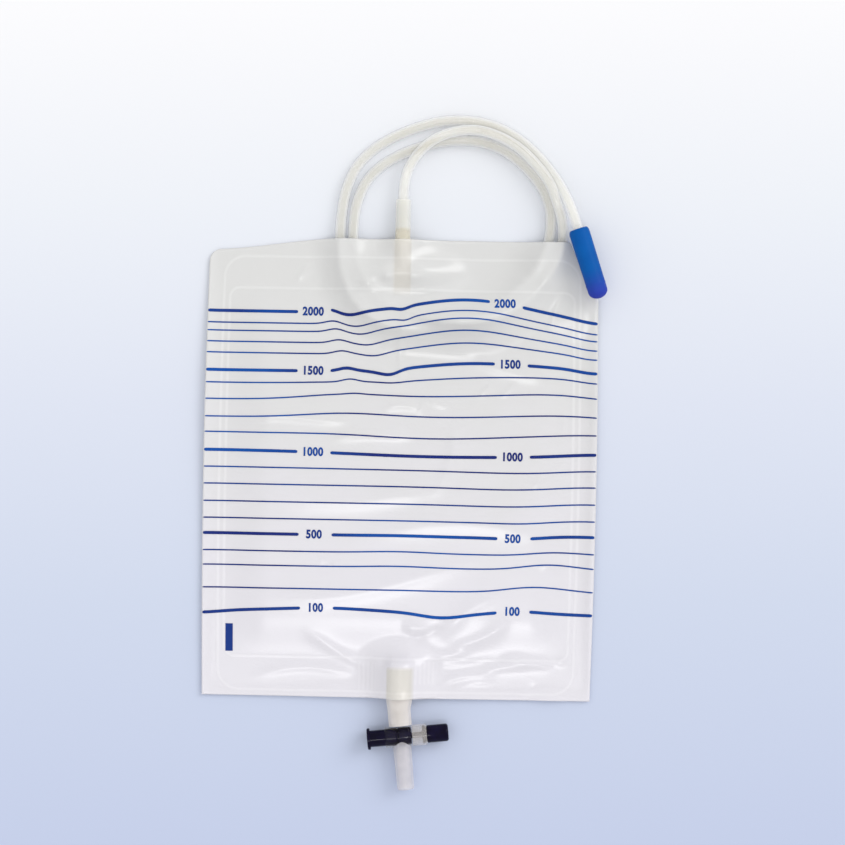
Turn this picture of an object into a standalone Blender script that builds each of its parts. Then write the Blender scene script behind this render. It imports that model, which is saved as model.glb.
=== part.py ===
"""Two litre urine drainage bag with its inlet tube, capped catheter connector and push-pull valve.

Metres, +Z up. The bag lies face up on a table: +Y runs to the top edge, where the inlet tube
goes in, and -Y to the drain spout. The tube is coiled loosely over and under the top edge.
"""
import math

import bmesh
import bpy
from mathutils import Matrix, Vector

MM = 0.001
SEAT_GAP = 0.0003
RUNNING_GAP = 0.00015
FACETS = 24

# Film: two sheets of soft PVC, welded round their edge
BAG_WIDTH = 0.2325
BAG_HEIGHT = 0.2745
BAG_CENTRE_Y = 0.0154
BAG_TILT = math.radians(1.1)
FILM_GAUGE = 0.0002
FILM_PITCH = FILM_GAUGE + 1.6 * SEAT_GAP
TOP_EDGE_DIP = 0.0075
TOP_EDGE_DIP_RUN = 0.080
SIDE_BOW = 0.0016
CORNER_ROUND = 0.007
POUCH_LIFT = 0.0022
POUCH_RAMP = 0.026
SIDE_WELD = 0.012
TOP_WELD = 0.028
BOTTOM_WELD = 0.023
PORT_ROWS_BAND = 0.026
PLAIN_ROWS_BAND = 0.142

# Corner turned under at the top right
FOLD_ALONG_TOP = 0.0187
FOLD_DOWN_SIDE = 0.0349
FOLD_RADIUS = 0.0004
FOLD_SPREAD = 0.0008
FOLD_RISE_REACH = 0.020

# Film over the tube that lies under it
RIDGE_CREST = 0.0065
RIDGE_FOOT = 0.003
RIDGE_SLOPE = 0.9
RIDGE_AIR_RATIO = 0.12

# Inlet tube
TUBE_OD = 0.0064
TUBE_STEP = 0.0132

# Inlet sleeve and the flat non-return valve on its inner end
SLEEVE_X = -0.0009
SLEEVE_Z = 0.0062
SLEEVE_OD = 0.0091
SLEEVE_WALL = 0.0009
SLEEVE_OUTSIDE = 0.0238
SLEEVE_INSIDE = 0.0192
FLAP_LENGTH = 0.027
FLAP_OVERLAP = 0.004
FLAP_WALL = 0.00025
FLAP_FLAT_HEIGHT = 0.0010

# Outlet tube, pressed oval where the film is welded to it
OUTLET_X = 0.00215
OUTLET_Z = 0.0070
OUTLET_OD = 0.0138
OUTLET_WALL = 0.0015
OUTLET_LENGTH = 0.0348
OUTLET_INSIDE = 0.0190
OUTLET_STRAIGHT = 0.0220
OUTLET_BEND = 0.0060
OVAL_WIDE_RATIO = 1.13
OVAL_TALL_RATIO = 0.86

# Valve body: one clear moulding with a cross barrel, a spigot and a spout
VALVE_TILT = math.radians(5.0)
BARREL_OD = 0.0126
BARREL_BORE = 0.0109
BARREL_LEFT = 0.0095
BARREL_RIGHT = 0.0153
SPIGOT_LENGTH = 0.0090
SPIGOT_BORE = 0.0062
SPOUT_REACH = 0.0318
SPOUT_OD_TOP = 0.0112
SPOUT_OD_END = 0.0102
SPOUT_BORE = 0.0078
PORT_BORE = 0.0058

# Valve plunger
FLANGE_OD = 0.0129
FLANGE_THICKNESS = 0.0018
SHANK_OD = 0.0099
PUSH_TRAVEL = 0.0088
LAND_LENGTH = 0.0158
WAIST_LENGTH = 0.0066
WAIST_OD = 0.0034
SEAL_LENGTH = 0.0018
GROOVE_LENGTH = 0.0012
GROOVE_DEPTH = 0.0007
KNOB_LENGTH = 0.0126
EDGE_ROUND = 0.0004

# Catheter connector and its cap
CAP_ANGLE = math.radians(17.5)
CAP_LENGTH = 0.0432
CAP_OD_MOUTH = 0.0124
CAP_OD_END = 0.0117
CAP_WALL = 0.0010
CAP_RIM_ROUND = 0.0012
TUBE_PAST_MOUTH = 0.0060
COLLAR_START = 0.0008
COLLAR_OD = 0.0092
COLLAR_LENGTH = 0.0095
NOSE_LENGTH = 0.0270
NOSE_STEPS = 3
NOSE_OD_BASE = 0.0074
NOSE_OD_TIP = 0.0052
NOSE_STEP_DROP = 0.0005
CONNECTOR_BORE = 0.0032

# The inlet tube's centreline in millimetres, from inside the sleeve to inside the connector
TUBE_ROUTE_MM = [
    (1.8, 157.5, 6.2), (2.1, 171.0, 6.2), (2.6, 184.0, 6.4), (4.9, 193.8, 7.6),
    (9.4, 201.5, 9.4), (15.3, 208.1, 10.3), (24.0, 213.8, 9.9), (34.8, 217.1, 8.9),
    (46.8, 217.6, 8.6), (59.4, 213.8, 8.8), (71.4, 206.7, 9.0), (81.6, 196.8, 9.0),
    (89.6, 185.7, 9.0), (93.8, 174.3, 8.3), (97.1, 162.9, 5.4), (97.3, 151.5, 3.6),
    (93.6, 139.6, 3.3), (86.8, 128.2, 3.3), (77.8, 118.6, 3.8), (66.8, 110.8, 5.6),
    (53.8, 105.8, 9.0), (39.5, 104.0, 10.4), (26.0, 104.6, 9.2), (13.0, 106.8, 5.6),
    (0.4, 110.0, 3.4), (-10.5, 116.0, 3.3), (-19.4, 125.4, 3.3), (-25.2, 137.2, 3.3),
    (-27.6, 150.2, 3.3), (-27.6, 161.6, 3.3), (-25.8, 174.0, 3.3), (-20.7, 186.3, 3.3),
    (-12.9, 195.2, 3.3), (-3.6, 201.4, 3.3), (6.6, 206.0, 3.3), (18.0, 209.6, 3.3),
    (31.2, 211.8, 3.3), (45.0, 211.5, 3.3), (58.2, 207.8, 3.3), (69.6, 200.8, 3.3),
    (79.2, 191.7, 3.3), (86.1, 181.8, 3.3), (89.7, 171.3, 3.3), (90.2, 160.5, 3.3),
    (88.4, 149.4, 3.3), (83.5, 138.4, 3.3), (75.7, 127.8, 3.3), (64.9, 118.2, 3.3),
    (51.4, 109.6, 3.3), (36.0, 103.2, 3.3), (19.2, 99.7, 3.3), (2.4, 100.0, 3.3),
    (-13.0, 104.8, 3.3), (-25.4, 114.8, 3.3), (-32.8, 128.4, 3.3), (-35.4, 143.2, 3.3),
    (-35.6, 158.4, 3.3), (-34.3, 171.9, 3.3), (-31.5, 184.2, 3.3), (-26.4, 195.3, 3.3),
    (-18.6, 204.3, 3.3), (-8.7, 211.3, 3.3), (2.4, 216.7, 3.3), (14.4, 221.0, 3.3),
    (27.6, 223.7, 3.3), (40.8, 223.8, 3.3), (54.0, 221.3, 3.3), (66.0, 216.0, 3.3),
    (76.8, 208.2, 3.3), (86.3, 198.4, 3.9), (94.4, 187.0, 6.6), (100.0, 176.0, 10.8),
    (104.0, 165.3, 12.9), (108.0, 152.7, 12.9),
]


def material(name, colour, roughness, alpha=1.0):
    made = bpy.data.materials.new(name)
    made.use_nodes = True
    shader = made.node_tree.nodes["Principled BSDF"]
    shader.inputs["Base Color"].default_value = (*colour, 1.0)
    shader.inputs["Roughness"].default_value = roughness
    shader.inputs["Metallic"].default_value = 0.0
    shader.inputs["Alpha"].default_value = alpha
    return made


def add_object(name, mesh, finish, parent=None, collection=None):
    made = bpy.data.objects.new(name, mesh)
    (collection or parts).objects.link(made)
    if finish:
        made.data.materials.append(finish)
    made.parent = parent
    return made


def add_frame(name, location, turn, parent=None):
    frame = bpy.data.objects.new(name, None)
    parts.objects.link(frame)
    frame.parent = parent
    frame.location = location
    frame.rotation_euler = (0.0, 0.0, turn)
    return frame


def smooth(share):
    share = min(1.0, max(0.0, share))
    return share * share * (3.0 - 2.0 * share)


def turned(name, profile, finish, parent=None, collection=None, start=0.0):
    """A closed outline of (radius, height) points, turned about the object's own Z.

    The outline runs down its outer side; a solid piece starts and ends on the axis. The start
    angle keeps the facets of crossing bores off each other.
    """
    mesh = bpy.data.meshes.new(name)
    made = add_object(name, mesh, finish, parent, collection)
    shape = bmesh.new()
    across = Vector((math.cos(start), math.sin(start), 0.0))
    points = [shape.verts.new(across * radius + Vector((0.0, 0.0, height)))
              for radius, height in profile]
    for first, second in zip(points, points[1:]):
        shape.edges.new((first, second))
    if profile[0][0] > 0.0:
        shape.edges.new((points[-1], points[0]))
    shape.to_mesh(mesh)
    shape.free()
    screw = made.modifiers.new("Turn", "SCREW")
    screw.steps = FACETS
    screw.render_steps = FACETS
    screw.use_merge_vertices = True
    screw.merge_threshold = 0.00001
    screw.use_smooth_shade = True
    return made


def baked(made):
    """Put the evaluated mesh in the object itself, so that its points can be moved."""
    bpy.context.view_layer.update()
    depsgraph = bpy.context.evaluated_depsgraph_get()
    mesh = bpy.data.meshes.new_from_object(made.evaluated_get(depsgraph))
    made.modifiers.clear()
    made.data = mesh
    return made


def along_x(made):
    """Lay a turned piece along its parent's +X."""
    made.rotation_euler = (0.0, math.radians(90.0), 0.0)
    return made


def along_y(made):
    """Lay a turned piece along its parent's +Y."""
    made.rotation_euler = (math.radians(-90.0), 0.0, 0.0)
    return made


def cut(made, cutter, operation="DIFFERENCE"):
    modifier = made.modifiers.new(cutter.name, "BOOLEAN")
    modifier.operation = operation
    modifier.solver = "EXACT"
    modifier.object = cutter


def make_guide(made):
    made.hide_render = True
    made.display_type = "WIRE"
    return made


def catmull_rom(points, per_span):
    """Points on a smooth curve through the given ones."""
    ends = [points[0] * 2.0 - points[1], *points, points[-1] * 2.0 - points[-2]]
    curve = []
    for a, b, c, d in zip(ends, ends[1:], ends[2:], ends[3:]):
        for step in range(per_span):
            t = step / per_span
            curve.append(
                0.5 * (2.0 * b + (c - a) * t
                       + (2.0 * a - 5.0 * b + 4.0 * c - d) * t * t
                       + (3.0 * b - a - 3.0 * c + d) * t * t * t)
            )
    curve.append(points[-1].copy())
    return curve


def even_points(curve, step):
    """Points at an even distance along a fine curve, ends included."""
    lengths = [0.0]
    for first, second in zip(curve, curve[1:]):
        lengths.append(lengths[-1] + (second - first).length)
    count = max(2, round(lengths[-1] / step))
    points = []
    place = 0
    for index in range(count + 1):
        want = lengths[-1] * index / count
        while place < len(curve) - 2 and lengths[place + 1] < want:
            place += 1
        span = lengths[place + 1] - lengths[place]
        points.append(curve[place].lerp(curve[place + 1], (want - lengths[place]) / span))
    return points


def to_bag(point):
    """A point of the world, seen from the bag's own tilted frame."""
    moved = Vector(point) - Vector((0.0, BAG_CENTRE_Y, 0.0))
    return Matrix.Rotation(BAG_TILT, 3, "Z") @ moved


def hidden_tube(curve):
    """The stretches of tube under the film, as (x, y, top) in the bag's frame.

    The tube's two ends lie on the film or in it, so they carry none of it.
    """
    steps = [(second - first).length for first, second in zip(curve, curve[1:])]
    left_over = sum(steps) - CAP_LENGTH
    length = 0.0
    found = []
    for step, place in zip(steps, curve[1:]):
        length += step
        point = to_bag(place)
        under = point.y < BAG_HEIGHT / 2.0 + TUBE_OD / 2.0
        if under and 2.0 * SLEEVE_OUTSIDE < length < left_over:
            found.append((point.x, point.y, point.z + TUBE_OD / 2.0))
    return found


def drape(x, y):
    """Height of what lies under the film: the table, or the tube with the film's own slope."""
    height = 0.0
    for tube_x, tube_y, top in under_film:
        crest = top + SEAT_GAP
        foot = RIDGE_CREST + RIDGE_FOOT + RIDGE_SLOPE * crest
        distance = math.hypot(x - tube_x, y - tube_y)
        if distance < foot:
            share = (distance - RIDGE_CREST) / (foot - RIDGE_CREST)
            height = max(height, crest * (1.0 - smooth(share)))
    return height


def fold_distance(x, y):
    """How far a point of the flat film lies past the line of the turned-under corner."""
    corner_x = BAG_WIDTH / 2.0
    corner_y = BAG_HEIGHT / 2.0
    length = math.hypot(FOLD_ALONG_TOP, FOLD_DOWN_SIDE)
    normal = (FOLD_DOWN_SIDE / length, FOLD_ALONG_TOP / length)
    return (x - corner_x + FOLD_ALONG_TOP) * normal[0] + (y - corner_y) * normal[1]


def fold_normal():
    length = math.hypot(FOLD_ALONG_TOP, FOLD_DOWN_SIDE)
    return Vector((FOLD_DOWN_SIDE / length, FOLD_ALONG_TOP / length))


def corner_rise(x, y):
    """Extra height of the film over its turned-under corner."""
    depth = FOLD_ALONG_TOP * FOLD_DOWN_SIDE / math.hypot(FOLD_ALONG_TOP, FOLD_DOWN_SIDE)
    inward = max(0.0, -fold_distance(x, y) - depth)
    side = fold_normal().orthogonal()
    middle = Vector((BAG_WIDTH - FOLD_ALONG_TOP, BAG_HEIGHT - FOLD_DOWN_SIDE)) / 2.0
    half_line = math.hypot(FOLD_ALONG_TOP, FOLD_DOWN_SIDE) / 2.0
    sideways = max(0.0, abs((Vector((x, y)) - middle).dot(side)) - half_line)
    away = math.hypot(inward, sideways) / FOLD_RISE_REACH
    return (FILM_PITCH + 2.0 * FOLD_RADIUS + FOLD_SPREAD) * (1.0 - smooth(away))


def pouch_gap(x, y):
    """Air between the sheets, none at the welds."""
    inside_side = BAG_WIDTH / 2.0 - SIDE_WELD - abs(x)
    inside_top = BAG_HEIGHT / 2.0 - TOP_WELD - y
    inside_bottom = y + BAG_HEIGHT / 2.0 - BOTTOM_WELD
    share = 1.0
    for inside in (inside_side, inside_top, inside_bottom):
        share *= smooth(inside / POUCH_RAMP)
    return POUCH_LIFT * share


def flap_section(y):
    """Share laid flat, half width and half height of the non-return valve at a height."""
    share = smooth((sleeve_port.inner_y - y) / (FLAP_LENGTH / 2.0))
    half_height = flap_radius + (FLAP_FLAT_HEIGHT / 2.0 - flap_radius) * share
    half_width = flap_radius + (flap_half_width - flap_radius) * share
    return share, half_width, half_height


def flap_centre(rear, y):
    """Height of the valve's middle: at the sleeve's, or lying on the rear sheet if higher."""
    share, _, half_height = flap_section(y)
    return SLEEVE_Z + share * max(0.0, rear + FILM_PITCH + half_height - SLEEVE_Z)


def over_flap(rear, x, y):
    """Height of the front sheet's middle where it passes over the non-return valve."""
    _, _, half_height = flap_section(y)
    beside = smooth((abs(x - SLEEVE_X) - flap_half_width) / POUCH_RAMP)
    below = smooth((sleeve_port.inner_y + FLAP_OVERLAP - FLAP_LENGTH - y) / POUCH_RAMP)
    above = smooth((y - sleeve_port.inner_y) / (SLEEVE_INSIDE - FLAP_OVERLAP))
    top = flap_centre(rear, y) + half_height + 1.6 * FILM_PITCH
    return rear + max(0.0, top - rear) * (1.0 - beside) * (1.0 - below) * (1.0 - above)


class Port:
    """A tube held between the sheets at an edge: the film wraps its two sides."""

    def __init__(self, x, z, half_width, half_height, inner_y, edge_sign, fall):
        self.x = x
        self.z = z
        self.half_width = half_width + SEAT_GAP + FILM_GAUGE
        self.half_height = half_height + SEAT_GAP + FILM_GAUGE / 2.0
        self.inner_y = inner_y
        self.edge_sign = edge_sign
        self.fall = fall
        self.foot = 2.2 * z

    def hold(self, y):
        """1 along the port, falling to 0 inside the bag past the port's inner end."""
        past = (self.inner_y - y) * self.edge_sign
        return 1.0 - smooth(past / self.fall)

    def wrap(self, x):
        """Heights of the lower sheet and of the space to the upper one."""
        offset = abs(x - self.x)
        if offset < self.half_width:
            bulge = self.half_height * math.sqrt(1.0 - (offset / self.half_width) ** 2)
            return self.z - bulge, 2.0 * bulge
        return self.z * (1.0 - smooth((offset - self.half_width) / self.foot)), 0.0


def sheet_heights(x, y):
    """Heights of the rear and the front sheet's middle over a point of the flat film."""
    draped = drape(x, y)
    lower = draped + corner_rise(x, y)
    space = FILM_PITCH + pouch_gap(x, y) + RIDGE_AIR_RATIO * draped
    for port in ports:
        hold = port.hold(y)
        if hold > 0.0:
            wrapped, gap = port.wrap(x)
            lower = max(lower, hold * wrapped)
            space = max(space, hold * gap)
    rear = lower + FILM_GAUGE / 2.0
    return rear, max(rear + space, over_flap(rear, x, y))


def sheet_point(x, y, front):
    """Where a point of the flat film lies once the bag is draped and its corner turned under."""
    past = fold_distance(x, y)
    normal = fold_normal()
    line_x = x - max(0.0, past) * normal.x
    line_y = y - max(0.0, past) * normal.y
    rear, face = sheet_heights(line_x, line_y)
    if past <= 0.0:
        return Vector((x, y, face if front else rear))
    radius = FOLD_RADIUS + (face - rear if front else 0.0)
    spread = FOLD_SPREAD if front else 0.0
    centre = rear - FOLD_RADIUS
    quarter = math.pi * radius
    if past < quarter:
        angle = past / radius
        reach = radius * math.sin(angle)
        height = centre + radius * math.cos(angle) - spread * past / quarter
        return Vector((line_x + reach * normal.x, line_y + reach * normal.y, height))
    back = past - quarter
    under_x = line_x - back * normal.x
    under_y = line_y - back * normal.y
    change = drape(under_x, under_y) - drape(line_x, line_y)
    return Vector((under_x, under_y, centre - radius - spread + change))


def column_offset(index, half_width, reach):
    """Distance of a film column from the port's axis: round the port, then out to the edge."""
    if index <= PORT_COLUMNS:
        return half_width * math.sin(math.pi / 2.0 * index / PORT_COLUMNS)
    return half_width + (reach - half_width) * (index - PORT_COLUMNS) / SIDE_COLUMNS


def film_row(index):
    """Height of a film row, from the bottom edge up: close near the ports and the coil."""
    bands = ((OUTLET_INSIDE + SEAT_GAP, 3), (PORT_ROWS_BAND, 3), (PLAIN_ROWS_BAND, 8),
             (BAG_HEIGHT, 16))
    height = -BAG_HEIGHT / 2.0
    for band, rows in bands:
        band = min(band, BAG_HEIGHT / 2.0 - height)
        if index <= rows:
            return height + band * index / rows
        height += band
        index -= rows
    return height


def round_corner(x, y):
    """Pulls the rectangle's upper left corner in to a round one."""
    past_x = (-x - BAG_WIDTH / 2.0 + CORNER_ROUND) / CORNER_ROUND
    past_y = (y - BAG_HEIGHT / 2.0 + CORNER_ROUND) / CORNER_ROUND
    if min(past_x, past_y) <= 0.0:
        return x, y
    in_x = CORNER_ROUND * (1.0 - math.sqrt(1.0 - past_y ** 2 / 2.0)) * past_x
    in_y = CORNER_ROUND * (1.0 - math.sqrt(1.0 - past_x ** 2 / 2.0)) * past_y
    return x + in_x, y - in_y


def flat_point(column, row):
    """A point of the film's flat grid, with columns that follow both ports."""
    y = film_row(row)
    share = smooth(0.5 + y / (BAG_HEIGHT - 2.0 * (SLEEVE_INSIDE + OUTLET_INSIDE)))
    places = []
    for port in (outlet_port, sleeve_port):
        side = 1.0 if column > 0 else -1.0
        reach = BAG_WIDTH / 2.0 - side * port.x
        places.append(port.x + side * column_offset(abs(column), port.half_width, reach))
    x = places[0] + (places[1] - places[0]) * share
    x, y = round_corner(x, y)
    x += SIDE_BOW * math.sin(math.pi * (y / BAG_HEIGHT + 0.5)) * x / (BAG_WIDTH / 2.0)
    left = smooth((-x - BAG_WIDTH / 2.0 + TOP_EDGE_DIP_RUN) / TOP_EDGE_DIP_RUN)
    near_top = smooth((y + BAG_HEIGHT / 2.0) / BAG_HEIGHT)
    return x, y - TOP_EDGE_DIP * left * near_top


def make_sheet(name, front, finish):
    """One film sheet: a flat grid, cut along the fold, laid over what is under it."""
    columns = 2 * (PORT_COLUMNS + SIDE_COLUMNS)
    rows = FILM_ROWS
    shape = bmesh.new()
    bmesh.ops.create_grid(shape, x_segments=columns, y_segments=rows, size=0.5)
    for vert in shape.verts:
        column = round((vert.co.x + 0.5) * columns) - columns // 2
        row = round((vert.co.y + 0.5) * rows)
        x, y = flat_point(column, row)
        vert.co = (x, y, 0.0)
    normal = fold_normal()
    on_line = Vector((BAG_WIDTH / 2.0 - FOLD_ALONG_TOP, BAG_HEIGHT / 2.0))
    turns = [math.pi * radius * step / FOLD_STEPS
             for radius in (FOLD_RADIUS, FOLD_RADIUS + FILM_PITCH)
             for step in range(FOLD_STEPS + 1)]
    for turn in sorted(set(turns)):
        place = on_line + normal * turn
        bmesh.ops.bisect_plane(
            shape, geom=shape.verts[:] + shape.edges[:] + shape.faces[:], dist=0.000001,
            plane_co=(place.x, place.y, 0.0), plane_no=(normal.x, normal.y, 0.0))
    for vert in shape.verts:
        vert.co = sheet_point(vert.co.x, vert.co.y, front)
    mesh = bpy.data.meshes.new(name)
    shape.to_mesh(mesh)
    shape.free()
    mesh.shade_smooth()
    made = add_object(name, mesh, finish, bag_frame)
    thickness = made.modifiers.new("Film gauge", "SOLIDIFY")
    thickness.thickness = FILM_GAUGE
    thickness.offset = 0.0
    return made


def make_inlet_sleeve():
    """Clear sleeve welded between the sheets; the tube is bonded in its outer end."""
    outer = SLEEVE_OD / 2.0
    inner = outer - SLEEVE_WALL
    length = SLEEVE_OUTSIDE + SLEEVE_INSIDE
    profile = [
        (inner, length), (outer - EDGE_ROUND, length), (outer, length - EDGE_ROUND),
        (outer, EDGE_ROUND), (outer - EDGE_ROUND, 0.0), (inner, 0.0),
    ]
    made = along_y(turned("inlet_sleeve", profile, clear_pvc, bag_frame))
    made.location = (SLEEVE_X, BAG_HEIGHT / 2.0 - SLEEVE_INSIDE, SLEEVE_Z)
    return made


def make_non_return_valve():
    """Flat film sleeve on the inner end of the inlet: round on the sleeve, flat below it."""
    stations = [FLAP_LENGTH * index / 8 for index in range(9)]
    outer = [(flap_radius, -distance) for distance in stations]
    inner = [(flap_radius - FLAP_WALL, -distance) for distance in reversed(stations)]
    made = baked(turned("non_return_valve", outer + inner, valve_film, bag_frame))
    top_y = BAG_HEIGHT / 2.0 - SLEEVE_INSIDE + FLAP_OVERLAP
    for vert in made.data.vertices:
        radius = math.hypot(vert.co.x, vert.co.y)
        cosine = vert.co.x / radius
        sine = vert.co.y / radius
        inset = flap_radius - radius
        y = top_y + vert.co.z
        _, half_width, half_height = flap_section(y)
        x = SLEEVE_X + (half_width - inset) * cosine
        centre = flap_centre(sheet_heights(x, y)[0], y)
        vert.co = (x, y, centre - (half_height - inset) * sine)
    return made


def make_inlet_tube():
    data = bpy.data.curves.new("inlet_tube", "CURVE")
    data.dimensions = "3D"
    data.bevel_depth = TUBE_OD / 2.0
    data.bevel_resolution = 2
    data.use_fill_caps = True
    points = even_points(tube_curve, TUBE_STEP)
    spline = data.splines.new("POLY")
    spline.points.add(len(points) - 1)
    for target, point in zip(spline.points, points):
        target.co = (*point, 1.0)
    spline.use_smooth = True
    return add_object("inlet_tube", data, clear_pvc)


def outlet_path(distance):
    """Place and turn of the outlet tube's axis, measured from its inner end."""
    turn = VALVE_TILT + BAG_TILT
    radius = OUTLET_BEND / turn
    straight = min(distance, OUTLET_STRAIGHT)
    angle = min(max(0.0, distance - OUTLET_STRAIGHT), OUTLET_BEND) / radius
    after = max(0.0, distance - OUTLET_STRAIGHT - OUTLET_BEND)
    x = OUTLET_X + radius * (1.0 - math.cos(angle)) + after * math.sin(angle)
    y = outlet_port.inner_y - straight - radius * math.sin(angle) - after * math.cos(angle)
    return x, y, angle


def make_outlet_tube():
    """Soft tube welded between the sheets, oval in the weld and round on the valve's spigot."""
    outer = OUTLET_OD / 2.0
    inner = outer - OUTLET_WALL
    stations = [OUTLET_LENGTH * index / 9 for index in range(10)]
    profile = [(outer, -distance) for distance in stations]
    profile += [(inner, -distance) for distance in reversed(stations)]
    made = baked(turned("outlet_tube", profile, soft_pvc, bag_frame))
    for vert in made.data.vertices:
        distance = -vert.co.z
        x, y, angle = outlet_path(distance)
        share = 1.0 - smooth((distance - OUTLET_INSIDE)
                             / (OUTLET_LENGTH - SPIGOT_LENGTH - OUTLET_INSIDE))
        wide = vert.co.x * (1.0 + (OVAL_WIDE_RATIO - 1.0) * share)
        tall = vert.co.y * (1.0 + (OVAL_TALL_RATIO - 1.0) * share)
        vert.co = (x + wide * math.cos(angle), y + wide * math.sin(angle), OUTLET_Z - tall)
    return made


def make_valve_body():
    """One moulding: barrel across, spigot up into the outlet tube, drain spout down."""
    facet = 2.0 * math.pi / FACETS
    barrel = [
        (0.0, BARREL_RIGHT), (BARREL_OD / 2.0, BARREL_RIGHT),
        (BARREL_OD / 2.0, -BARREL_LEFT), (0.0, -BARREL_LEFT),
    ]
    made = along_x(turned("valve_body", barrel, clear_rigid, valve_frame))
    spigot_radius = OUTLET_OD / 2.0 - OUTLET_WALL - SEAT_GAP
    spigot_top = BARREL_OD / 2.0 + SPIGOT_LENGTH
    stem = [
        (0.0, spigot_top), (spigot_radius - EDGE_ROUND, spigot_top),
        (spigot_radius, spigot_top - EDGE_ROUND), (spigot_radius, 0.0),
        (SPOUT_OD_TOP / 2.0, 0.0), (SPOUT_OD_END / 2.0, 2.0 * EDGE_ROUND - SPOUT_REACH),
        (SPOUT_OD_END / 2.0 - EDGE_ROUND, -SPOUT_REACH), (0.0, -SPOUT_REACH),
    ]
    spigot = make_guide(along_y(turned("stem_form", stem, None, valve_frame, cutters, facet / 3.0)))
    cut(made, spigot, "UNION")
    past = OUTLET_LENGTH
    bore = [(0.0, past), (BARREL_BORE / 2.0, past), (BARREL_BORE / 2.0, -past), (0.0, -past)]
    bored = turned("barrel_bore", bore, None, valve_frame, cutters, facet / 5.0)
    cut(made, make_guide(along_x(bored)))
    spout_floor = -(BARREL_OD / 2.0 + SEAT_GAP)
    waterway = [
        (0.0, past), (SPIGOT_BORE / 2.0, past), (PORT_BORE / 2.0, 0.0),
        (PORT_BORE / 2.0, spout_floor), (SPOUT_BORE / 2.0, spout_floor - SPOUT_BORE / 4.0),
        (SPOUT_BORE / 2.0, -past), (0.0, -past),
    ]
    drilled = turned("waterway", waterway, None, valve_frame, cutters, facet / 7.0)
    cut(made, make_guide(along_y(drilled)))
    return made


def make_valve_plunger():
    """Flange, shank, sealing land, thin waist, second seal and knob, moulded in one."""
    land = BARREL_BORE / 2.0 - RUNNING_GAP
    shank = SHANK_OD / 2.0
    flange = FLANGE_OD / 2.0
    waist = WAIST_OD / 2.0
    groove = land - GROOVE_DEPTH
    x = -BARREL_LEFT - SEAT_GAP - PUSH_TRAVEL - FLANGE_THICKNESS
    left = [(0.0, x), (flange - EDGE_ROUND, x), (flange, x + EDGE_ROUND)]
    x += FLANGE_THICKNESS
    left += [(flange, x - EDGE_ROUND), (flange - EDGE_ROUND, x), (shank, x)]
    x += PUSH_TRAVEL
    left += [(shank, x), (land, x + EDGE_ROUND)]
    middle = x + LAND_LENGTH / 2.0
    left += [(land, middle - GROOVE_LENGTH), (groove, middle - GROOVE_LENGTH / 2.0)]
    left += [(groove, middle), (land, middle + GROOVE_LENGTH / 2.0)]
    x += LAND_LENGTH
    left += [(land, x - EDGE_ROUND), (land - EDGE_ROUND, x), (waist, x)]
    x += WAIST_LENGTH
    left += [(waist, x), (land - EDGE_ROUND, x), (land, x + EDGE_ROUND)]
    x += SEAL_LENGTH
    left += [(land, x), (groove, x), (groove, x + GROOVE_LENGTH), (land, x + GROOVE_LENGTH)]
    x += GROOVE_LENGTH + KNOB_LENGTH
    left += [(land, x - 3.0 * EDGE_ROUND), (land - EDGE_ROUND, x - EDGE_ROUND)]
    left += [(land - 3.0 * EDGE_ROUND, x), (0.0, x)]
    profile = list(reversed(left))
    return along_x(turned("valve_plunger", profile, dark_plastic, valve_frame))


def make_connector():
    """Stepped catheter connector: a collar that takes the tube and a nose with three steps."""
    socket = TUBE_OD / 2.0 + SEAT_GAP
    collar = COLLAR_OD / 2.0
    bore = CONNECTOR_BORE / 2.0
    collar_end = COLLAR_START + COLLAR_LENGTH
    tip = collar_end + NOSE_LENGTH
    socket_end = TUBE_PAST_MOUTH + SEAT_GAP
    profile = [(bore, tip)]
    for step in range(NOSE_STEPS, 0, -1):
        share = step / NOSE_STEPS
        top = collar_end + NOSE_LENGTH * share
        foot = collar_end + NOSE_LENGTH * (step - 1) / NOSE_STEPS
        narrow = (NOSE_OD_BASE + (NOSE_OD_TIP - NOSE_OD_BASE) * share) / 2.0
        wide = narrow + NOSE_STEP_DROP
        profile += [(narrow, top), (wide, foot + EDGE_ROUND), (wide - EDGE_ROUND, foot)]
    profile += [
        (collar - EDGE_ROUND, collar_end), (collar, collar_end - EDGE_ROUND),
        (collar, COLLAR_START), (socket, COLLAR_START), (socket, socket_end),
        (bore, socket_end),
    ]
    return along_y(turned("catheter_connector", profile, clear_rigid, cap_frame))


def make_cap():
    """Closed blue cap over the connector, a little narrower at its closed end."""
    mouth = CAP_OD_MOUTH / 2.0
    end = CAP_OD_END / 2.0
    dome = end * 0.8
    profile = []
    for step in range(7):
        angle = math.pi / 2.0 * step / 6
        profile.append((end * math.sin(angle), CAP_LENGTH - dome * (1.0 - math.cos(angle))))
    for step in range(4):
        angle = math.pi / 2.0 * step / 3
        radius = mouth - CAP_RIM_ROUND * (1.0 - math.cos(angle))
        profile.append((radius, CAP_RIM_ROUND * (1.0 - math.sin(angle))))
    profile.append((mouth - CAP_WALL - CAP_RIM_ROUND * 0.3, 0.0))
    inner_mouth = mouth - CAP_WALL
    inner_end = end - CAP_WALL
    profile.append((inner_mouth, CAP_RIM_ROUND))
    for step in range(4, -1, -1):
        angle = math.pi / 2.0 * step / 4
        height = CAP_LENGTH - CAP_WALL - dome * (1.0 - math.cos(angle))
        profile.append((inner_end * math.sin(angle), height))
    return along_y(turned("connector_cap", profile, blue_plastic, cap_frame))


for old in list(bpy.data.objects):
    bpy.data.objects.remove(old)
parts = bpy.data.collections.new("urine_drainage_bag")
cutters = bpy.data.collections.new("cutters")
for group in (parts, cutters):
    bpy.context.scene.collection.children.link(group)

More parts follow.
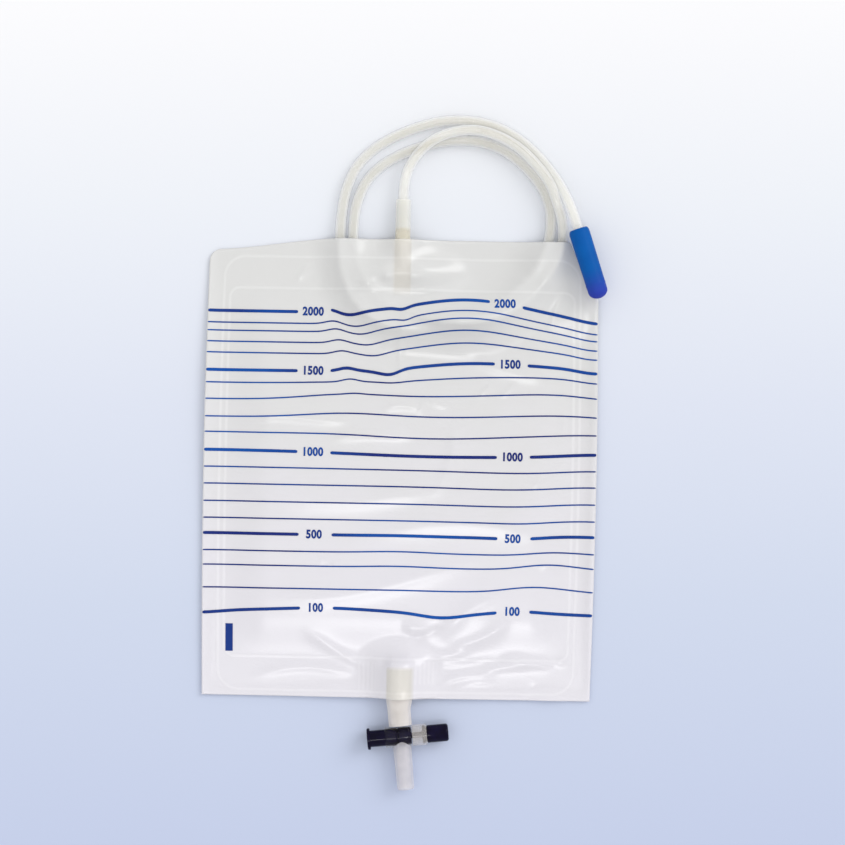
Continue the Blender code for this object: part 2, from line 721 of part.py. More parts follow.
film = material("frosted_film", (0.84, 0.84, 0.86), 0.35, 0.9)
valve_film = material("clear_film", (0.88, 0.88, 0.88), 0.25, 0.7)
clear_pvc = material("clear_tube", (0.86, 0.85, 0.80), 0.12, 0.5)
soft_pvc = material("milky_tube", (0.85, 0.83, 0.80), 0.25, 0.8)
clear_rigid = material("clear_rigid_plastic", (0.86, 0.86, 0.86), 0.10, 0.5)
dark_plastic = material("navy_plastic", (0.012, 0.008, 0.035), 0.25)
blue_plastic = material("blue_plastic", (0.0, 0.10, 0.39), 0.35)

PORT_COLUMNS = 4
SIDE_COLUMNS = 11
FILM_ROWS = 30
FOLD_STEPS = 3

bag_frame = add_frame("bag_frame", (0.0, BAG_CENTRE_Y, 0.0), -BAG_TILT)
flap_radius = SLEEVE_OD / 2.0 + SEAT_GAP + FLAP_WALL
flap_half_width = math.pi * flap_radius / 2.0 - FLAP_FLAT_HEIGHT / 2.0
sleeve_port = Port(SLEEVE_X, SLEEVE_Z, flap_radius, flap_radius,
                   BAG_HEIGHT / 2.0 - SLEEVE_INSIDE, 1.0, SLEEVE_OD)
outlet_port = Port(OUTLET_X, OUTLET_Z, OUTLET_OD / 2.0 * OVAL_WIDE_RATIO,
                   OUTLET_OD / 2.0 * OVAL_TALL_RATIO, OUTLET_INSIDE - BAG_HEIGHT / 2.0, -1.0,
                   2.0 * OUTLET_Z)
ports = (sleeve_port, outlet_port)

route = [Vector(point) * MM for point in TUBE_ROUTE_MM]
tube_curve = catmull_rom(route, 12)
under_film = hidden_tube(tube_curve)

valve_x, valve_y, valve_turn = outlet_path(OUTLET_LENGTH + SEAT_GAP + BARREL_OD / 2.0)
valve_frame = add_frame("valve_frame", (valve_x, valve_y, OUTLET_Z), valve_turn, bag_frame)
cap_frame = add_frame("cap_frame", (0.0, 0.0, 0.0), CAP_ANGLE - math.pi)
heading = Vector((math.sin(CAP_ANGLE), -math.cos(CAP_ANGLE), 0.0))
cap_frame.location = route[-1] - heading * TUBE_PAST_MOUTH

make_sheet("rear_sheet", False, film)
make_sheet("front_sheet", True, film)
make_inlet_sleeve()
make_non_return_valve()
make_inlet_tube()
make_outlet_tube()
make_valve_body()
make_valve_plunger()
make_connector()
make_cap()
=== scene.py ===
"""Looks of a two litre urine drainage bag, laid out flat and seen from straight above."""
import math

import bmesh
import bpy
import numpy as np
from mathutils import Matrix, Vector


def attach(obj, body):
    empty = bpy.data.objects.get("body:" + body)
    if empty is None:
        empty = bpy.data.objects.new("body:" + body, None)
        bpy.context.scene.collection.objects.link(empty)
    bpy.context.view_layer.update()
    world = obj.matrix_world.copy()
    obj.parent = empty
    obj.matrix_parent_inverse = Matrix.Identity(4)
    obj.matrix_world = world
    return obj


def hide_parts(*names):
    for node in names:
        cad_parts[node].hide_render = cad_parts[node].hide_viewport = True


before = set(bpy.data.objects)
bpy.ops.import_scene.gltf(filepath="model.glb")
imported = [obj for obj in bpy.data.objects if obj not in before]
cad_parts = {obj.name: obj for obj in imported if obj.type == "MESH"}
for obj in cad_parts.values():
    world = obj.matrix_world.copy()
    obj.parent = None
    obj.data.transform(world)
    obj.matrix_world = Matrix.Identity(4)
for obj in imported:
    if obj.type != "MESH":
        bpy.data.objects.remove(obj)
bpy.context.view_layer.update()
MM = 0.001

# Camera, table and lights. The camera looks straight down, and one photo pixel is 0.6 mm on the
# bag. The table is matt paper, nearly white behind the tube and pale blue below the valve, lit
# by a pale room with a dim ceiling, a soft window light from the upper right and a small lamp.
VIEW_CENTRE = (13.5 * MM, 43.2 * MM)
VIEW_WIDTH = 0.507
CAMERA_HEIGHT = 1.6
SENSOR = 36.0
FAR_CLIP = 30.0
ROOM_TONE = "FDFDFD"
ROOM_LIGHT = 0.894
CEILING_LIGHT = 1.0
CEILING_FROM = 0.71
CEILING_FULL = 0.95


def placed(name, data):
    """A new object of the scene that shows some data."""
    made = bpy.data.objects.new(name, data)
    bpy.context.scene.collection.objects.link(made)
    return made


camera_data = bpy.data.cameras.new("camera")
camera_data.sensor_width = SENSOR
camera_data.lens = SENSOR * CAMERA_HEIGHT / VIEW_WIDTH
camera_data.clip_end = FAR_CLIP
camera = placed("camera", camera_data)
camera.location = (*VIEW_CENTRE, CAMERA_HEIGHT)
bpy.context.scene.camera = camera
bpy.context.scene.view_settings.view_transform = "Standard"


def linear(colour):
    """An sRGB hex colour as the linear RGBA that a shader takes."""
    channels = [int(colour[place:place + 2], 16) / 255.0 for place in (0, 2, 4)]
    return (*[value / 12.92 if value <= 0.04045 else ((value + 0.055) / 1.055) ** 2.4
              for value in channels], 1.0)


def new_material(name):
    """A material with its node tree and its own Principled shader."""
    made = bpy.data.materials.new(name)
    made.use_nodes = True
    return made, made.node_tree, made.node_tree.nodes["Principled BSDF"]


def set_up(tree, node, values=None, links=None):
    """Sets some of a node's sockets, and feeds others from a socket or a node's first output."""
    for socket, value in (values or {}).items():
        node.inputs[socket].default_value = value
    for socket, source in (links or {}).items():
        output = source.outputs[0] if isinstance(source, bpy.types.Node) else source
        tree.links.new(output, node.inputs[socket])
    return node


def add_node(tree, kind, settings=None, values=None, links=None):
    """One node with its settings, its socket values, and what feeds its sockets."""
    made = tree.nodes.new("ShaderNode" + kind)
    for name, value in (settings or {}).items():
        setattr(made, name, value)
    return set_up(tree, made, values, links)


def span(start, end, low=0.0, high=1.0):
    """Values of a Map Range node that takes start to low and end to high."""
    return {"From Min": start, "From Max": end, "To Min": low, "To Max": high}


SOFT_STEP = {"interpolation_type": "SMOOTHSTEP"}
TABLE_SIZE = 9.0
TABLE_SQUARES = 8
# The photograph's bottom and top edges on the table, and the paper's tones between them.
BACKDROP_SPAN = (-0.206, 0.293)
BACKDROP_TONES = ((0.0, "BAC3DB"), (0.286, "C5CDDF"), (0.526, "D2D7E4"), (0.766, "E0E3E9"),
                  (1.0, "ECECEE"))

bpy.ops.object.select_all(action="DESELECT")
bpy.ops.mesh.primitive_grid_add(x_subdivisions=TABLE_SQUARES, y_subdivisions=TABLE_SQUARES,
                                size=TABLE_SIZE)
table_top = bpy.context.active_object
table_top.name = "table_top"
paper, tree, shader = new_material("matt_backdrop_paper")
place = add_node(tree, "TexCoord")
split = add_node(tree, "SeparateXYZ", links={"Vector": place.outputs["Object"]})
along = add_node(tree, "MapRange", values=span(*BACKDROP_SPAN),
                 links={"Value": split.outputs["Y"]})
ramp = add_node(tree, "ValToRGB", links={"Fac": along})
for place_on_ramp, tone in BACKDROP_TONES[1:-1]:
    ramp.color_ramp.elements.new(place_on_ramp)
for stop, (place_on_ramp, tone) in zip(ramp.color_ramp.elements, BACKDROP_TONES):
    stop.position = place_on_ramp
    stop.color = linear(tone)
set_up(tree, shader, {"Roughness": 1.0, "Specular IOR Level": 0.0}, {"Base Color": ramp})
table_top.data.materials.append(paper)

world = bpy.data.worlds.new("studio")
bpy.context.scene.world = world
world.use_nodes = True
tree = world.node_tree
around = add_node(tree, "TexCoord")
way_up = add_node(tree, "SeparateXYZ", links={"Vector": around.outputs["Generated"]})
overhead = add_node(tree, "MapRange", SOFT_STEP,
                    span(CEILING_FROM, CEILING_FULL, ROOM_LIGHT, CEILING_LIGHT),
                    {"Value": way_up.outputs["Z"]})
set_up(tree, tree.nodes["Background"], {"Color": linear(ROOM_TONE)}, {"Strength": overhead})


def soft_light(name, azimuth, elevation, strength, spread):
    """A far soft light: the way it stands, how strong it is and how wide it looks, in degrees."""
    data = bpy.data.lights.new(name, "SUN")
    data.energy = strength
    data.angle = math.radians(spread)
    lamp = placed(name, data)
    around = math.radians(azimuth)
    up = math.radians(elevation)
    stand = Vector((math.cos(around) * math.cos(up), math.sin(around) * math.cos(up),
                    math.sin(up)))
    lamp.rotation_euler = stand.to_track_quat("Z", "Y").to_euler()


soft_light("window_light", 32.0, 36.0, 0.94, 34.0)
soft_light("gloss_light", -85.0, 76.0, 0.25, 7.0)

# Inlet tube: 0.95 m of clear soft PVC tube, extruded, 6.4 mm across with a 1 mm wall. It is
# bonded in the inlet sleeve, coils over and under the bag's top edge, and ends in the connector.
TUBE_OD = 6.4 * MM
TUBE_WALL = 1.0 * MM
TUBE_LENGTH = 0.95
TUBE_ROUND = 8
ROUTE_STEPS = 6
COLOUR_MIX = {"data_type": "RGBA"}
ROUTE_MM = [
    (1.8, 157.5, 6.2), (2.1, 171.0, 6.2), (2.6, 184.0, 6.4), (4.9, 193.8, 7.6),
    (9.4, 201.5, 9.4), (15.3, 208.1, 10.3), (24.0, 213.8, 9.9), (34.8, 217.1, 8.9),
    (46.8, 217.6, 8.6), (59.4, 213.8, 8.8), (71.4, 206.7, 9.0), (81.6, 196.8, 9.0),
    (89.6, 185.7, 9.0), (93.8, 174.3, 8.3), (97.1, 162.9, 5.4), (97.3, 151.5, 3.6),
    (93.6, 139.6, 3.3), (86.8, 128.2, 3.3), (77.8, 118.6, 3.8), (66.8, 110.8, 5.6),
    (53.8, 105.8, 9.0), (39.5, 104.0, 10.4), (26.0, 104.6, 9.2), (13.0, 106.8, 5.6),
    (0.4, 110.0, 3.4), (-10.5, 116.0, 3.3), (-19.4, 125.4, 3.3), (-25.2, 137.2, 3.3),
    (-27.6, 150.2, 3.3), (-27.6, 161.6, 3.3), (-25.8, 174.0, 3.3), (-20.7, 186.3, 3.3),
    (-12.9, 195.2, 3.3), (-3.6, 201.4, 3.3), (6.6, 206.0, 3.3), (18.0, 209.6, 3.3),
    (31.2, 211.8, 3.3), (45.0, 211.5, 3.3), (58.2, 207.8, 3.3), (69.6, 200.8, 3.3),
    (79.2, 191.7, 3.3), (86.1, 181.8, 3.3), (89.7, 171.3, 3.3), (90.2, 160.5, 3.3),
    (88.4, 149.4, 3.3), (83.5, 138.4, 3.3), (75.7, 127.8, 3.3), (64.9, 118.2, 3.3),
    (51.4, 109.6, 3.3), (36.0, 103.2, 3.3), (19.2, 99.7, 3.3), (2.4, 100.0, 3.3),
    (-13.0, 104.8, 3.3), (-25.4, 114.8, 3.3), (-32.8, 128.4, 3.3), (-35.4, 143.2, 3.3),
    (-35.6, 158.4, 3.3), (-34.3, 171.9, 3.3), (-31.5, 184.2, 3.3), (-26.4, 195.3, 3.3),
    (-18.6, 204.3, 3.3), (-8.7, 211.3, 3.3), (2.4, 216.7, 3.3), (14.4, 221.0, 3.3),
    (27.6, 223.7, 3.3), (40.8, 223.8, 3.3), (54.0, 221.3, 3.3), (66.0, 216.0, 3.3),
    (76.8, 208.2, 3.3), (86.3, 198.4, 3.9), (94.4, 187.0, 6.6), (100.0, 176.0, 10.8),
    (104.0, 165.3, 12.9), (108.0, 152.7, 12.9),
]


def catmull_rom(points, per_span):
    """Points on a smooth curve through the given ones."""
    ends = [points[0] * 2.0 - points[1], *points, points[-1] * 2.0 - points[-2]]
    curve = []
    for a, b, c, d in zip(ends, ends[1:], ends[2:], ends[3:]):
        for step in range(per_span):
            t = step / per_span
            curve.append(0.5 * (2.0 * b + (c - a) * t
                                + (2.0 * a - 5.0 * b + 4.0 * c - d) * t * t
                                + (3.0 * b - a - 3.0 * c + d) * t * t * t))
    curve.append(points[-1].copy())
    return curve


def take(piece):
    """Selects one piece and nothing else."""
    bpy.ops.object.select_all(action="DESELECT")
    piece.select_set(True)
    bpy.context.view_layer.objects.active = piece


def shape_with(piece, kind, **settings):
    """Gives a piece one modifier with its settings, and applies it."""
    take(piece)
    made = piece.modifiers.new(kind, kind)
    for name, value in settings.items():
        setattr(made, name, value)
    bpy.ops.object.modifier_apply(modifier=made.name)


route = catmull_rom([Vector(point) * MM for point in ROUTE_MM], ROUTE_STEPS)
tube_curve = bpy.data.curves.new("inlet_tube_line", "CURVE")
tube_curve.dimensions = "3D"
tube_curve.bevel_depth = TUBE_OD / 2.0
tube_curve.bevel_resolution = TUBE_ROUND
spline = tube_curve.splines.new("POLY")
spline.points.add(len(route) - 1)
for target, point in zip(spline.points, route):
    target.co = (*point, 1.0)
spline.use_smooth = True
tube = placed("clear_inlet_tube", tube_curve)
take(tube)
bpy.ops.object.convert(target="MESH")
shape_with(tube, "SOLIDIFY", thickness=TUBE_WALL, offset=-1.0)
bpy.ops.object.shade_smooth()


def see_through(tree, shader, face_on, edge_on, start=0.35, full=0.97):
    """Clear plastic shows most where it is looked through edge on, as a wall of it does."""
    facing = add_node(tree, "LayerWeight", values={"Blend": 0.5})
    wall = add_node(tree, "MapRange", SOFT_STEP, span(start, full, face_on, edge_on),
                    {"Value": facing.outputs["Facing"]})
    set_up(tree, shader, links={"Alpha": wall})


# Where each painted line of a tube's wall starts and is full, from the middle out, and its
# tone: first a painted highlight, then a fine painted grey shade line at the very edge.
PAINTED_EDGE_LINES = ((0.14, 0.42, "FFFFFF"), (0.50, 0.80, "BFC1C2"))


def wall_lines(tree, shader, tone):
    """A wall seen on edge: a painted highlight line, and a fine painted shade line at its edge."""
    facing = add_node(tree, "LayerWeight", values={"Blend": 0.5})
    for start, full, line in PAINTED_EDGE_LINES:
        share = add_node(tree, "MapRange", SOFT_STEP, span(start, full),
                         {"Value": facing.outputs["Facing"]})
        tone = add_node(tree, "Mix", COLOUR_MIX, {7: linear(line)}, {0: share, 6: tone.outputs[2]})
    set_up(tree, shader, links={"Base Color": tone.outputs[2]})


def clouded(tree, shader, one, other, size):
    """Two close tones of the plastic in soft patches of a size, as a moulding or extrusion has."""
    place = add_node(tree, "TexCoord")
    patches = add_node(tree, "TexNoise", values={"Scale": 1.0 / size, "Detail": 3.0},
                       links={"Vector": place.outputs["Object"]})
    share = add_node(tree, "MapRange", values=span(0.35, 0.65), links={"Value": patches})
    tone = add_node(tree, "Mix", COLOUR_MIX, {6: linear(one), 7: linear(other)}, {0: share})
    set_up(tree, shader, links={"Base Color": tone.outputs[2]})
    return tone


PVC_IOR = 1.53
# Clear plasticised PVC: seen through in the middle, with a painted highlight line and a fine
# painted grey shade line along the tube's edges where its wall is seen edge on, and a faint
# warm haze in it keeps it from being glass.
clear_pvc, tree, shader = new_material("extruded_clear_pvc")
wall_lines(tree, shader, clouded(tree, shader, "FBF8EC", "FFFDF4", 30.0 * MM))
see_through(tree, shader, 0.22, 0.46, 0.05, 0.60)
set_up(tree, shader, {"Roughness": 0.08, "IOR": PVC_IOR})
tube.data.materials.append(clear_pvc)
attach(tube, "bag")
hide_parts("inlet_tube")

# Film: two sheets of frosted soft PVC, 0.2 mm thick, welded round their edge. They lie over the
# coiled tube, hold the inlet sleeve and the outlet tube between them, and the top right corner
# is turned under.
BAG_WIDTH = 232.5 * MM
BAG_HEIGHT = 274.5 * MM
BAG_CENTRE_Y = 15.4 * MM
BAG_TILT = math.radians(1.1)
FILM_GAUGE = 0.2 * MM
FILM_PITCH = 0.7 * MM
GRID_STEP = 1.2 * MM
FILM_STEP = 1.224 * MM
GRID_MARGIN = 6.0 * MM
TOP_EDGE_DIP = 7.5 * MM
TOP_EDGE_DIP_RUN = 80.0 * MM
SIDE_BOW = 1.6 * MM
CORNER_ROUND = 7.0 * MM
SIDE_WELD = 12.0 * MM
TOP_WELD = 28.0 * MM
BOTTOM_WELD = 23.0 * MM
POUCH_LIFT = 2.2 * MM
POUCH_RAMP = 26.0 * MM
FILM_SAG = 0.045 / MM
FILM_LEAN = 2.2
TUBE_BESIDE_BAG = 45.0 * MM
REAR_ROUNDS = 500
FRONT_ROUNDS = 60
EDGE_CURL = 3.4 * MM
RIGHT_CURL = 0.45 * EDGE_CURL
LEFT_WAVES = 31.0
BOTTOM_WAVES = 40.0
FOLD_ALONG_TOP = 18.7 * MM
FOLD_DOWN_SIDE = 34.9 * MM
FOLD_RADIUS = 0.4 * MM
FOLD_SPREAD = 0.8 * MM
FOLD_REACH = 20.0 * MM
FOLD_CUTS = 9
SLEEVE_X = -0.9 * MM
SLEEVE_Z = 6.2 * MM
SLEEVE_OD = 9.1 * MM
SLEEVE_WALL = 0.9 * MM
SLEEVE_INSIDE = 19.2 * MM
SLEEVE_OUTSIDE = 23.8 * MM
FLAP_LENGTH = 27.0 * MM
FLAP_OVERLAP = 4.0 * MM
FLAP_FLAT = 1.0 * MM
FLAP_WALL = 0.25 * MM
FLAP_RAMP = 40.0 * MM
OUTLET_X = 2.15 * MM
OUTLET_Z = 7.0 * MM
OUTLET_OD = 13.8 * MM
OUTLET_INSIDE = 19.0 * MM
OVAL_WIDE_RATIO = 1.13
OVAL_TALL_RATIO = 0.86
SEAT_GAP = 0.3 * MM

half_w = BAG_WIDTH / 2.0
half_h = BAG_HEIGHT / 2.0
flap_radius = SLEEVE_OD / 2.0 + SEAT_GAP + FLAP_WALL
flap_half_width = math.pi * flap_radius / 2.0 - FLAP_FLAT / 2.0
fold_length = math.hypot(FOLD_ALONG_TOP, FOLD_DOWN_SIDE)
fold_nx = FOLD_DOWN_SIDE / fold_length
fold_ny = FOLD_ALONG_TOP / fold_length


def smooth(share):
    """An even step from none to all, with soft ends."""
    share = np.clip(share, 0.0, 1.0)
    return share * share * (3.0 - 2.0 * share)


def fold_distance(x, y):
    """How far a point of the flat film lies past the line of the turned-under corner."""
    return (x - half_w + FOLD_ALONG_TOP) * fold_nx + (y - half_h) * fold_ny


def to_bag(point):
    """A point of the world, seen from the bag's own tilted frame."""
    return Matrix.Rotation(BAG_TILT, 3, "Z") @ (Vector(point) - Vector((0.0, BAG_CENTRE_Y, 0.0)))


def settle(height, least, rounds):
    """Film that sags under its own weight between the things that hold it up."""
    drop = FILM_SAG * GRID_STEP * GRID_STEP / 4.0
    for _ in range(rounds):
        around = (np.roll(height, 1, 0) + np.roll(height, -1, 0)
                  + np.roll(height, 1, 1) + np.roll(height, -1, 1)) / 4.0
        height = np.maximum(least, around - drop)
    return height


def port_wrap(x, centre_x, z, half_width, half_height):
    """The two sheets' heights where they pass under and over a tube held between them."""
    offset = np.abs(x - centre_x)
    inside = offset < half_width
    bulge = half_height * np.sqrt(np.clip(1.0 - (offset / half_width) ** 2, 0.0, 1.0))
    beside = z * (1.0 - smooth((offset - half_width) / (FILM_LEAN * z)))
    return np.where(inside, z - bulge, beside), np.where(inside, 2.0 * bulge, 0.0)


grid_x = np.arange(-half_w - GRID_MARGIN, half_w + GRID_MARGIN, GRID_STEP)
grid_y = np.arange(-half_h - GRID_MARGIN, half_h + GRID_MARGIN, GRID_STEP)
gx, gy = np.meshgrid(grid_x, grid_y)

# What the rear sheet lies on: the table, and the tube wherever it runs under the bag.
held_up = np.zeros_like(gx)
travelled = 0.0
for before, after in zip(route, route[1:]):
    travelled += (after - before).length
    point = to_bag(after)
    may_hide = 2.0 * SLEEVE_OUTSIDE < travelled < TUBE_LENGTH - TUBE_BESIDE_BAG
    if may_hide and point.y < half_h + TUBE_OD:
        reach = TUBE_OD / 2.0 + SEAT_GAP
        distance = np.hypot(gx - point.x, gy - point.y)
        over = point.z + np.sqrt(np.clip(reach ** 2 - distance ** 2, 0.0, None))
        held_up = np.maximum(held_up, np.where(distance < reach, over + FILM_GAUGE, 0.0))
# The cut edges curl up a little off the table, in long waves, less towards the corners.
left_curl = 0.75 + 0.25 * np.sin(gy * LEFT_WAVES)
bottom_curl = 0.8 + 0.2 * np.cos(gx * BOTTOM_WAVES)
curl = EDGE_CURL * np.maximum(np.where(gx < GRID_STEP - half_w, left_curl, 0.0),
                              np.where(gy < GRID_STEP - half_h, bottom_curl, 0.0))
curl = np.maximum(curl, np.where(gx > half_w - GRID_STEP, RIGHT_CURL, 0.0))
curl *= 1.0 - 0.6 * smooth((np.hypot(gx, gy) - 0.9 * half_h) / (0.4 * half_h))
held_up = np.maximum(held_up, curl)
draped = settle(held_up.copy(), held_up, REAR_ROUNDS)

fold_depth = FOLD_ALONG_TOP * FOLD_DOWN_SIDE / fold_length
inward = np.clip(-fold_distance(gx, gy) - fold_depth, 0.0, None)
middle_x = half_w - FOLD_ALONG_TOP / 2.0
middle_y = half_h - FOLD_DOWN_SIDE / 2.0
sideways = np.abs(-(gx - middle_x) * fold_ny + (gy - middle_y) * fold_nx) - fold_length / 2.0
away = np.hypot(inward, np.clip(sideways, 0.0, None)) / FOLD_REACH
corner_rise = (FILM_PITCH + 2.0 * FOLD_RADIUS + FOLD_SPREAD) * (1.0 - smooth(away))

sleeve_inner = half_h - SLEEVE_INSIDE
outlet_inner = OUTLET_INSIDE - half_h
sleeve_hold = 1.0 - smooth((sleeve_inner - gy) / SLEEVE_OD)
outlet_hold = 1.0 - smooth((gy - outlet_inner) / (2.0 * OUTLET_Z))
clearance = SEAT_GAP + FILM_GAUGE
sleeve_low, sleeve_room = port_wrap(gx, SLEEVE_X, SLEEVE_Z, flap_radius + clearance,
                                    flap_radius + clearance)
outlet_low, outlet_room = port_wrap(gx, OUTLET_X, OUTLET_Z,
                                    OUTLET_OD / 2.0 * OVAL_WIDE_RATIO + clearance,
                                    OUTLET_OD / 2.0 * OVAL_TALL_RATIO + clearance)
rear_height = draped + corner_rise
rear_height = np.maximum(rear_height, sleeve_hold * sleeve_low)
rear_height = np.maximum(rear_height, outlet_hold * outlet_low) + FILM_GAUGE / 2.0

# What the front sheet lies on: the air left in the pouch, the two ports and the inner valve.
in_pouch = (smooth((half_w - SIDE_WELD - np.abs(gx)) / POUCH_RAMP)
            * smooth((half_h - TOP_WELD - gy) / POUCH_RAMP)
            * smooth((gy + half_h - BOTTOM_WELD) / POUCH_RAMP))
flap_share = smooth((sleeve_inner - gy) / (FLAP_LENGTH / 2.0))
flap_tall = flap_radius + (FLAP_FLAT / 2.0 - flap_radius) * flap_share
flap_middle = SLEEVE_Z + flap_share * np.clip(rear_height + FILM_PITCH + flap_tall - SLEEVE_Z,
                                              0.0, None)
over_flap = flap_middle + flap_tall + FILM_PITCH
beside_flap = smooth((np.abs(gx - SLEEVE_X) - flap_half_width) / FLAP_RAMP)
below_flap = smooth((sleeve_inner + FLAP_OVERLAP - FLAP_LENGTH - gy) / POUCH_RAMP)
above_flap = smooth((gy - sleeve_inner) / (SLEEVE_INSIDE - FLAP_OVERLAP))
flap_hold = (1.0 - beside_flap) * (1.0 - below_flap) * (1.0 - above_flap)
air = np.maximum(FILM_PITCH + POUCH_LIFT * in_pouch, sleeve_hold * sleeve_room)
air = np.maximum(air, outlet_hold * outlet_room)
front_least = rear_height + air
front_least = np.maximum(front_least,
                         rear_height + np.clip(over_flap - rear_height, 0.0, None) * flap_hold)
front_height = settle(front_least.copy(), front_least, FRONT_ROUNDS)

# Creases in the front sheet: start, end (mm, in the bag's frame), width and height in mm. Most
# run out from the outlet tube, where the film is gathered on it, and the rest from handling.
CREASES_MM = [
    ((9, -116, 46, -105), 8.0, 1.1), ((30, -108, 70, -89), 9.0, 1.1),
    ((9, -115, 62, -112), 2.6, 0.35), ((60, -115, 97, -114), 7.5, 1.0),
    ((94, -116, 103, -112), 2.6, 0.4), ((95, -112, 103, -116), 2.6, 0.4),
    ((18, -132, 62, -121), 6.0, 0.9), ((48, -125, 86, -112), 7.0, 0.9),
    ((28, -134, 62, -126), 6.0, 0.6), ((60, -135, 104, -134), 5.0, 0.6),
    ((79, -131, 84, -128), 2.8, -0.5), ((7, -107, 26, -92), 7.0, -0.9),
    ((24, -100, 66, -72), 12.0, 0.9), ((2, -96, 24, -95), 8.0, 0.8),
    ((-46, -53, -45, -58), 2.4, 0.4), ((-38, -55, -37, -60), 2.4, 0.4),
    ((79, -10, 88, -1), 3.4, 0.6), ((86, -2, 104, 8), 3.4, 0.6),
    ((84, -60, 104, -52), 7.0, 0.9), ((-66, 112, -54, 122), 4.0, 0.6),
    ((-30, 105, -18, 112), 3.4, 0.6), ((-13, 113, -8, 117), 3.6, 0.7),
    ((8, 108, 26, 108), 2.8, 0.5), ((44, 100, 62, 99), 3.6, 0.5),
    ((-13, 71, -4, 79), 3.2, 0.6), ((-13, 36, 14, 37), 6.0, 0.8),
    ((10, 32, 14, 44), 2.8, 0.6), ((14, 43, 29, 37), 2.8, 0.6),
    ((45, 44, 55, 53), 3.0, 0.6), ((58, 44, 69, 53), 3.0, 0.6),
    ((-44, 13, 13, 25), 7.0, 0.9), ((-104, 22, -23, 34), 7.0, 0.8),
    ((96, 18, 97, 38), 3.0, 0.5), ((101, 14, 102, 32), 2.4, 0.4),
    ((-60, -100, -8, -118), 8.0, 0.9), ((-90, -126, -20, -122), 6.0, 0.6),
    ((-100, -72, 56, -62), 16.0, 1.0), ((-30, -34, 100, -44), 18.0, 0.9),
    ((-96, -8, 36, -20), 16.0, 1.0), ((30, 70, 112, 56), 9.0, 0.9),
    ((88, 84, 100, 112), 6.0, 0.7), ((-4, 44, 6, 100), 5.0, 0.6), ((20, -20, 34, 30), 9.0, 0.7),
]
CREASE_BOW = 0.06
CREASE_SHARE = 0.42
for (x0, y0, x1, y1), width, height in CREASES_MM:
    start = np.array([x0, y0]) * MM
    run = np.array([x1 - x0, y1 - y0]) * MM
    length = math.hypot(*run)
    along_run = ((gx - start[0]) * run[0] + (gy - start[1]) * run[1]) / length ** 2
    across = ((gx - start[0]) * run[1] - (gy - start[1]) * run[0]) / length
    across += CREASE_BOW * length * np.sin(along_run * 4.0 + width)
    taper = smooth(along_run * 3.0) * smooth((1.0 - along_run) * 3.0)
    ridge = 1.0 / (1.0 + (across / (width * MM * CREASE_SHARE)) ** 2) ** 1.5
    front_height += height * MM * taper * ridge


def points_of(piece):
    """The places of a piece's vertices, one row each."""
    points = np.empty(len(piece.data.vertices) * 3)
    piece.data.vertices.foreach_get("co", points)
    return points.reshape(-1, 3)


def move_points(piece, points):
    """Puts a piece's vertices in new places."""
    piece.data.vertices.foreach_set("co", points.ravel())
    piece.data.update()


def sample(field, x, y):
    """A height field read between its grid points."""
    column = np.clip((x - grid_x[0]) / GRID_STEP, 0.0, len(grid_x) - 1.001)
    row = np.clip((y - grid_y[0]) / GRID_STEP, 0.0, len(grid_y) - 1.001)
    i = column.astype(int)
    j = row.astype(int)
    u = column - i
    v = row - j
    return ((field[j, i] * (1 - u) + field[j, i + 1] * u) * (1 - v)
            + (field[j + 1, i] * (1 - u) + field[j + 1, i + 1] * u) * v)


def bow_sides(x, y):
    """The flat rectangle of film with the bag's sides, which are bowed a little."""
    return x + SIDE_BOW * np.sin(math.pi * np.clip(y / BAG_HEIGHT + 0.5, 0, 1)) * x / half_w, y


def cut_outline(x, y):
    """The bowed film with its top edge, which is cut off lower towards the left."""
    x, y = bow_sides(x, y)
    near_top = smooth((y + half_h) / BAG_HEIGHT)
    left = smooth((TOP_EDGE_DIP_RUN - half_w - x) / TOP_EDGE_DIP_RUN)
    return x, y - TOP_EDGE_DIP * left * near_top


def round_corners(x, y):
    """Pulls the rectangle's upper left corner in to a round one."""
    u = np.clip((-x - half_w + CORNER_ROUND) / CORNER_ROUND, 0.0, 1.0)
    v = np.clip((y - half_h + CORNER_ROUND) / CORNER_ROUND, 0.0, 1.0)
    both = (u > 0) & (v > 0)
    round_x = half_w - CORNER_ROUND + CORNER_ROUND * u * np.sqrt(1 - v * v / 2)
    round_y = half_h - CORNER_ROUND + CORNER_ROUND * v * np.sqrt(1 - u * u / 2)
    return np.where(both, -round_x, x), np.where(both, round_y, y)


def lay_film(x, y, front):
    """Where points of the flat film lie: draped, with the top right corner turned under."""
    past = np.clip(fold_distance(x, y), 0.0, None)
    line_x = x - past * fold_nx
    line_y = y - past * fold_ny
    rear = sample(rear_height, line_x, line_y)
    face = sample(front_height, line_x, line_y)
    radius = FOLD_RADIUS + ((face - rear) if front else 0.0)
    spread = FOLD_SPREAD if front else 0.0
    quarter = math.pi * radius
    turning = np.clip(past / radius, 0.0, math.pi)
    back = np.clip(past - quarter, 0.0, None)
    reach = np.where(past > 0.0, radius * np.sin(turning), 0.0) - back
    low = rear - FOLD_RADIUS - spread * turning / math.pi
    out_x = line_x + reach * fold_nx
    out_y = line_y + reach * fold_ny
    change = np.where(back > 0.0, sample(draped, out_x, out_y) - sample(draped, line_x, line_y), 0)
    folded = low + radius * np.cos(turning) + change
    height = np.where(past > 0.0, folded, face if front else rear)
    turn = -BAG_TILT
    world_x = out_x * math.cos(turn) - out_y * math.sin(turn)
    world_y = out_x * math.sin(turn) + out_y * math.cos(turn) + BAG_CENTRE_Y
    return np.stack([world_x, world_y, height], axis=1)


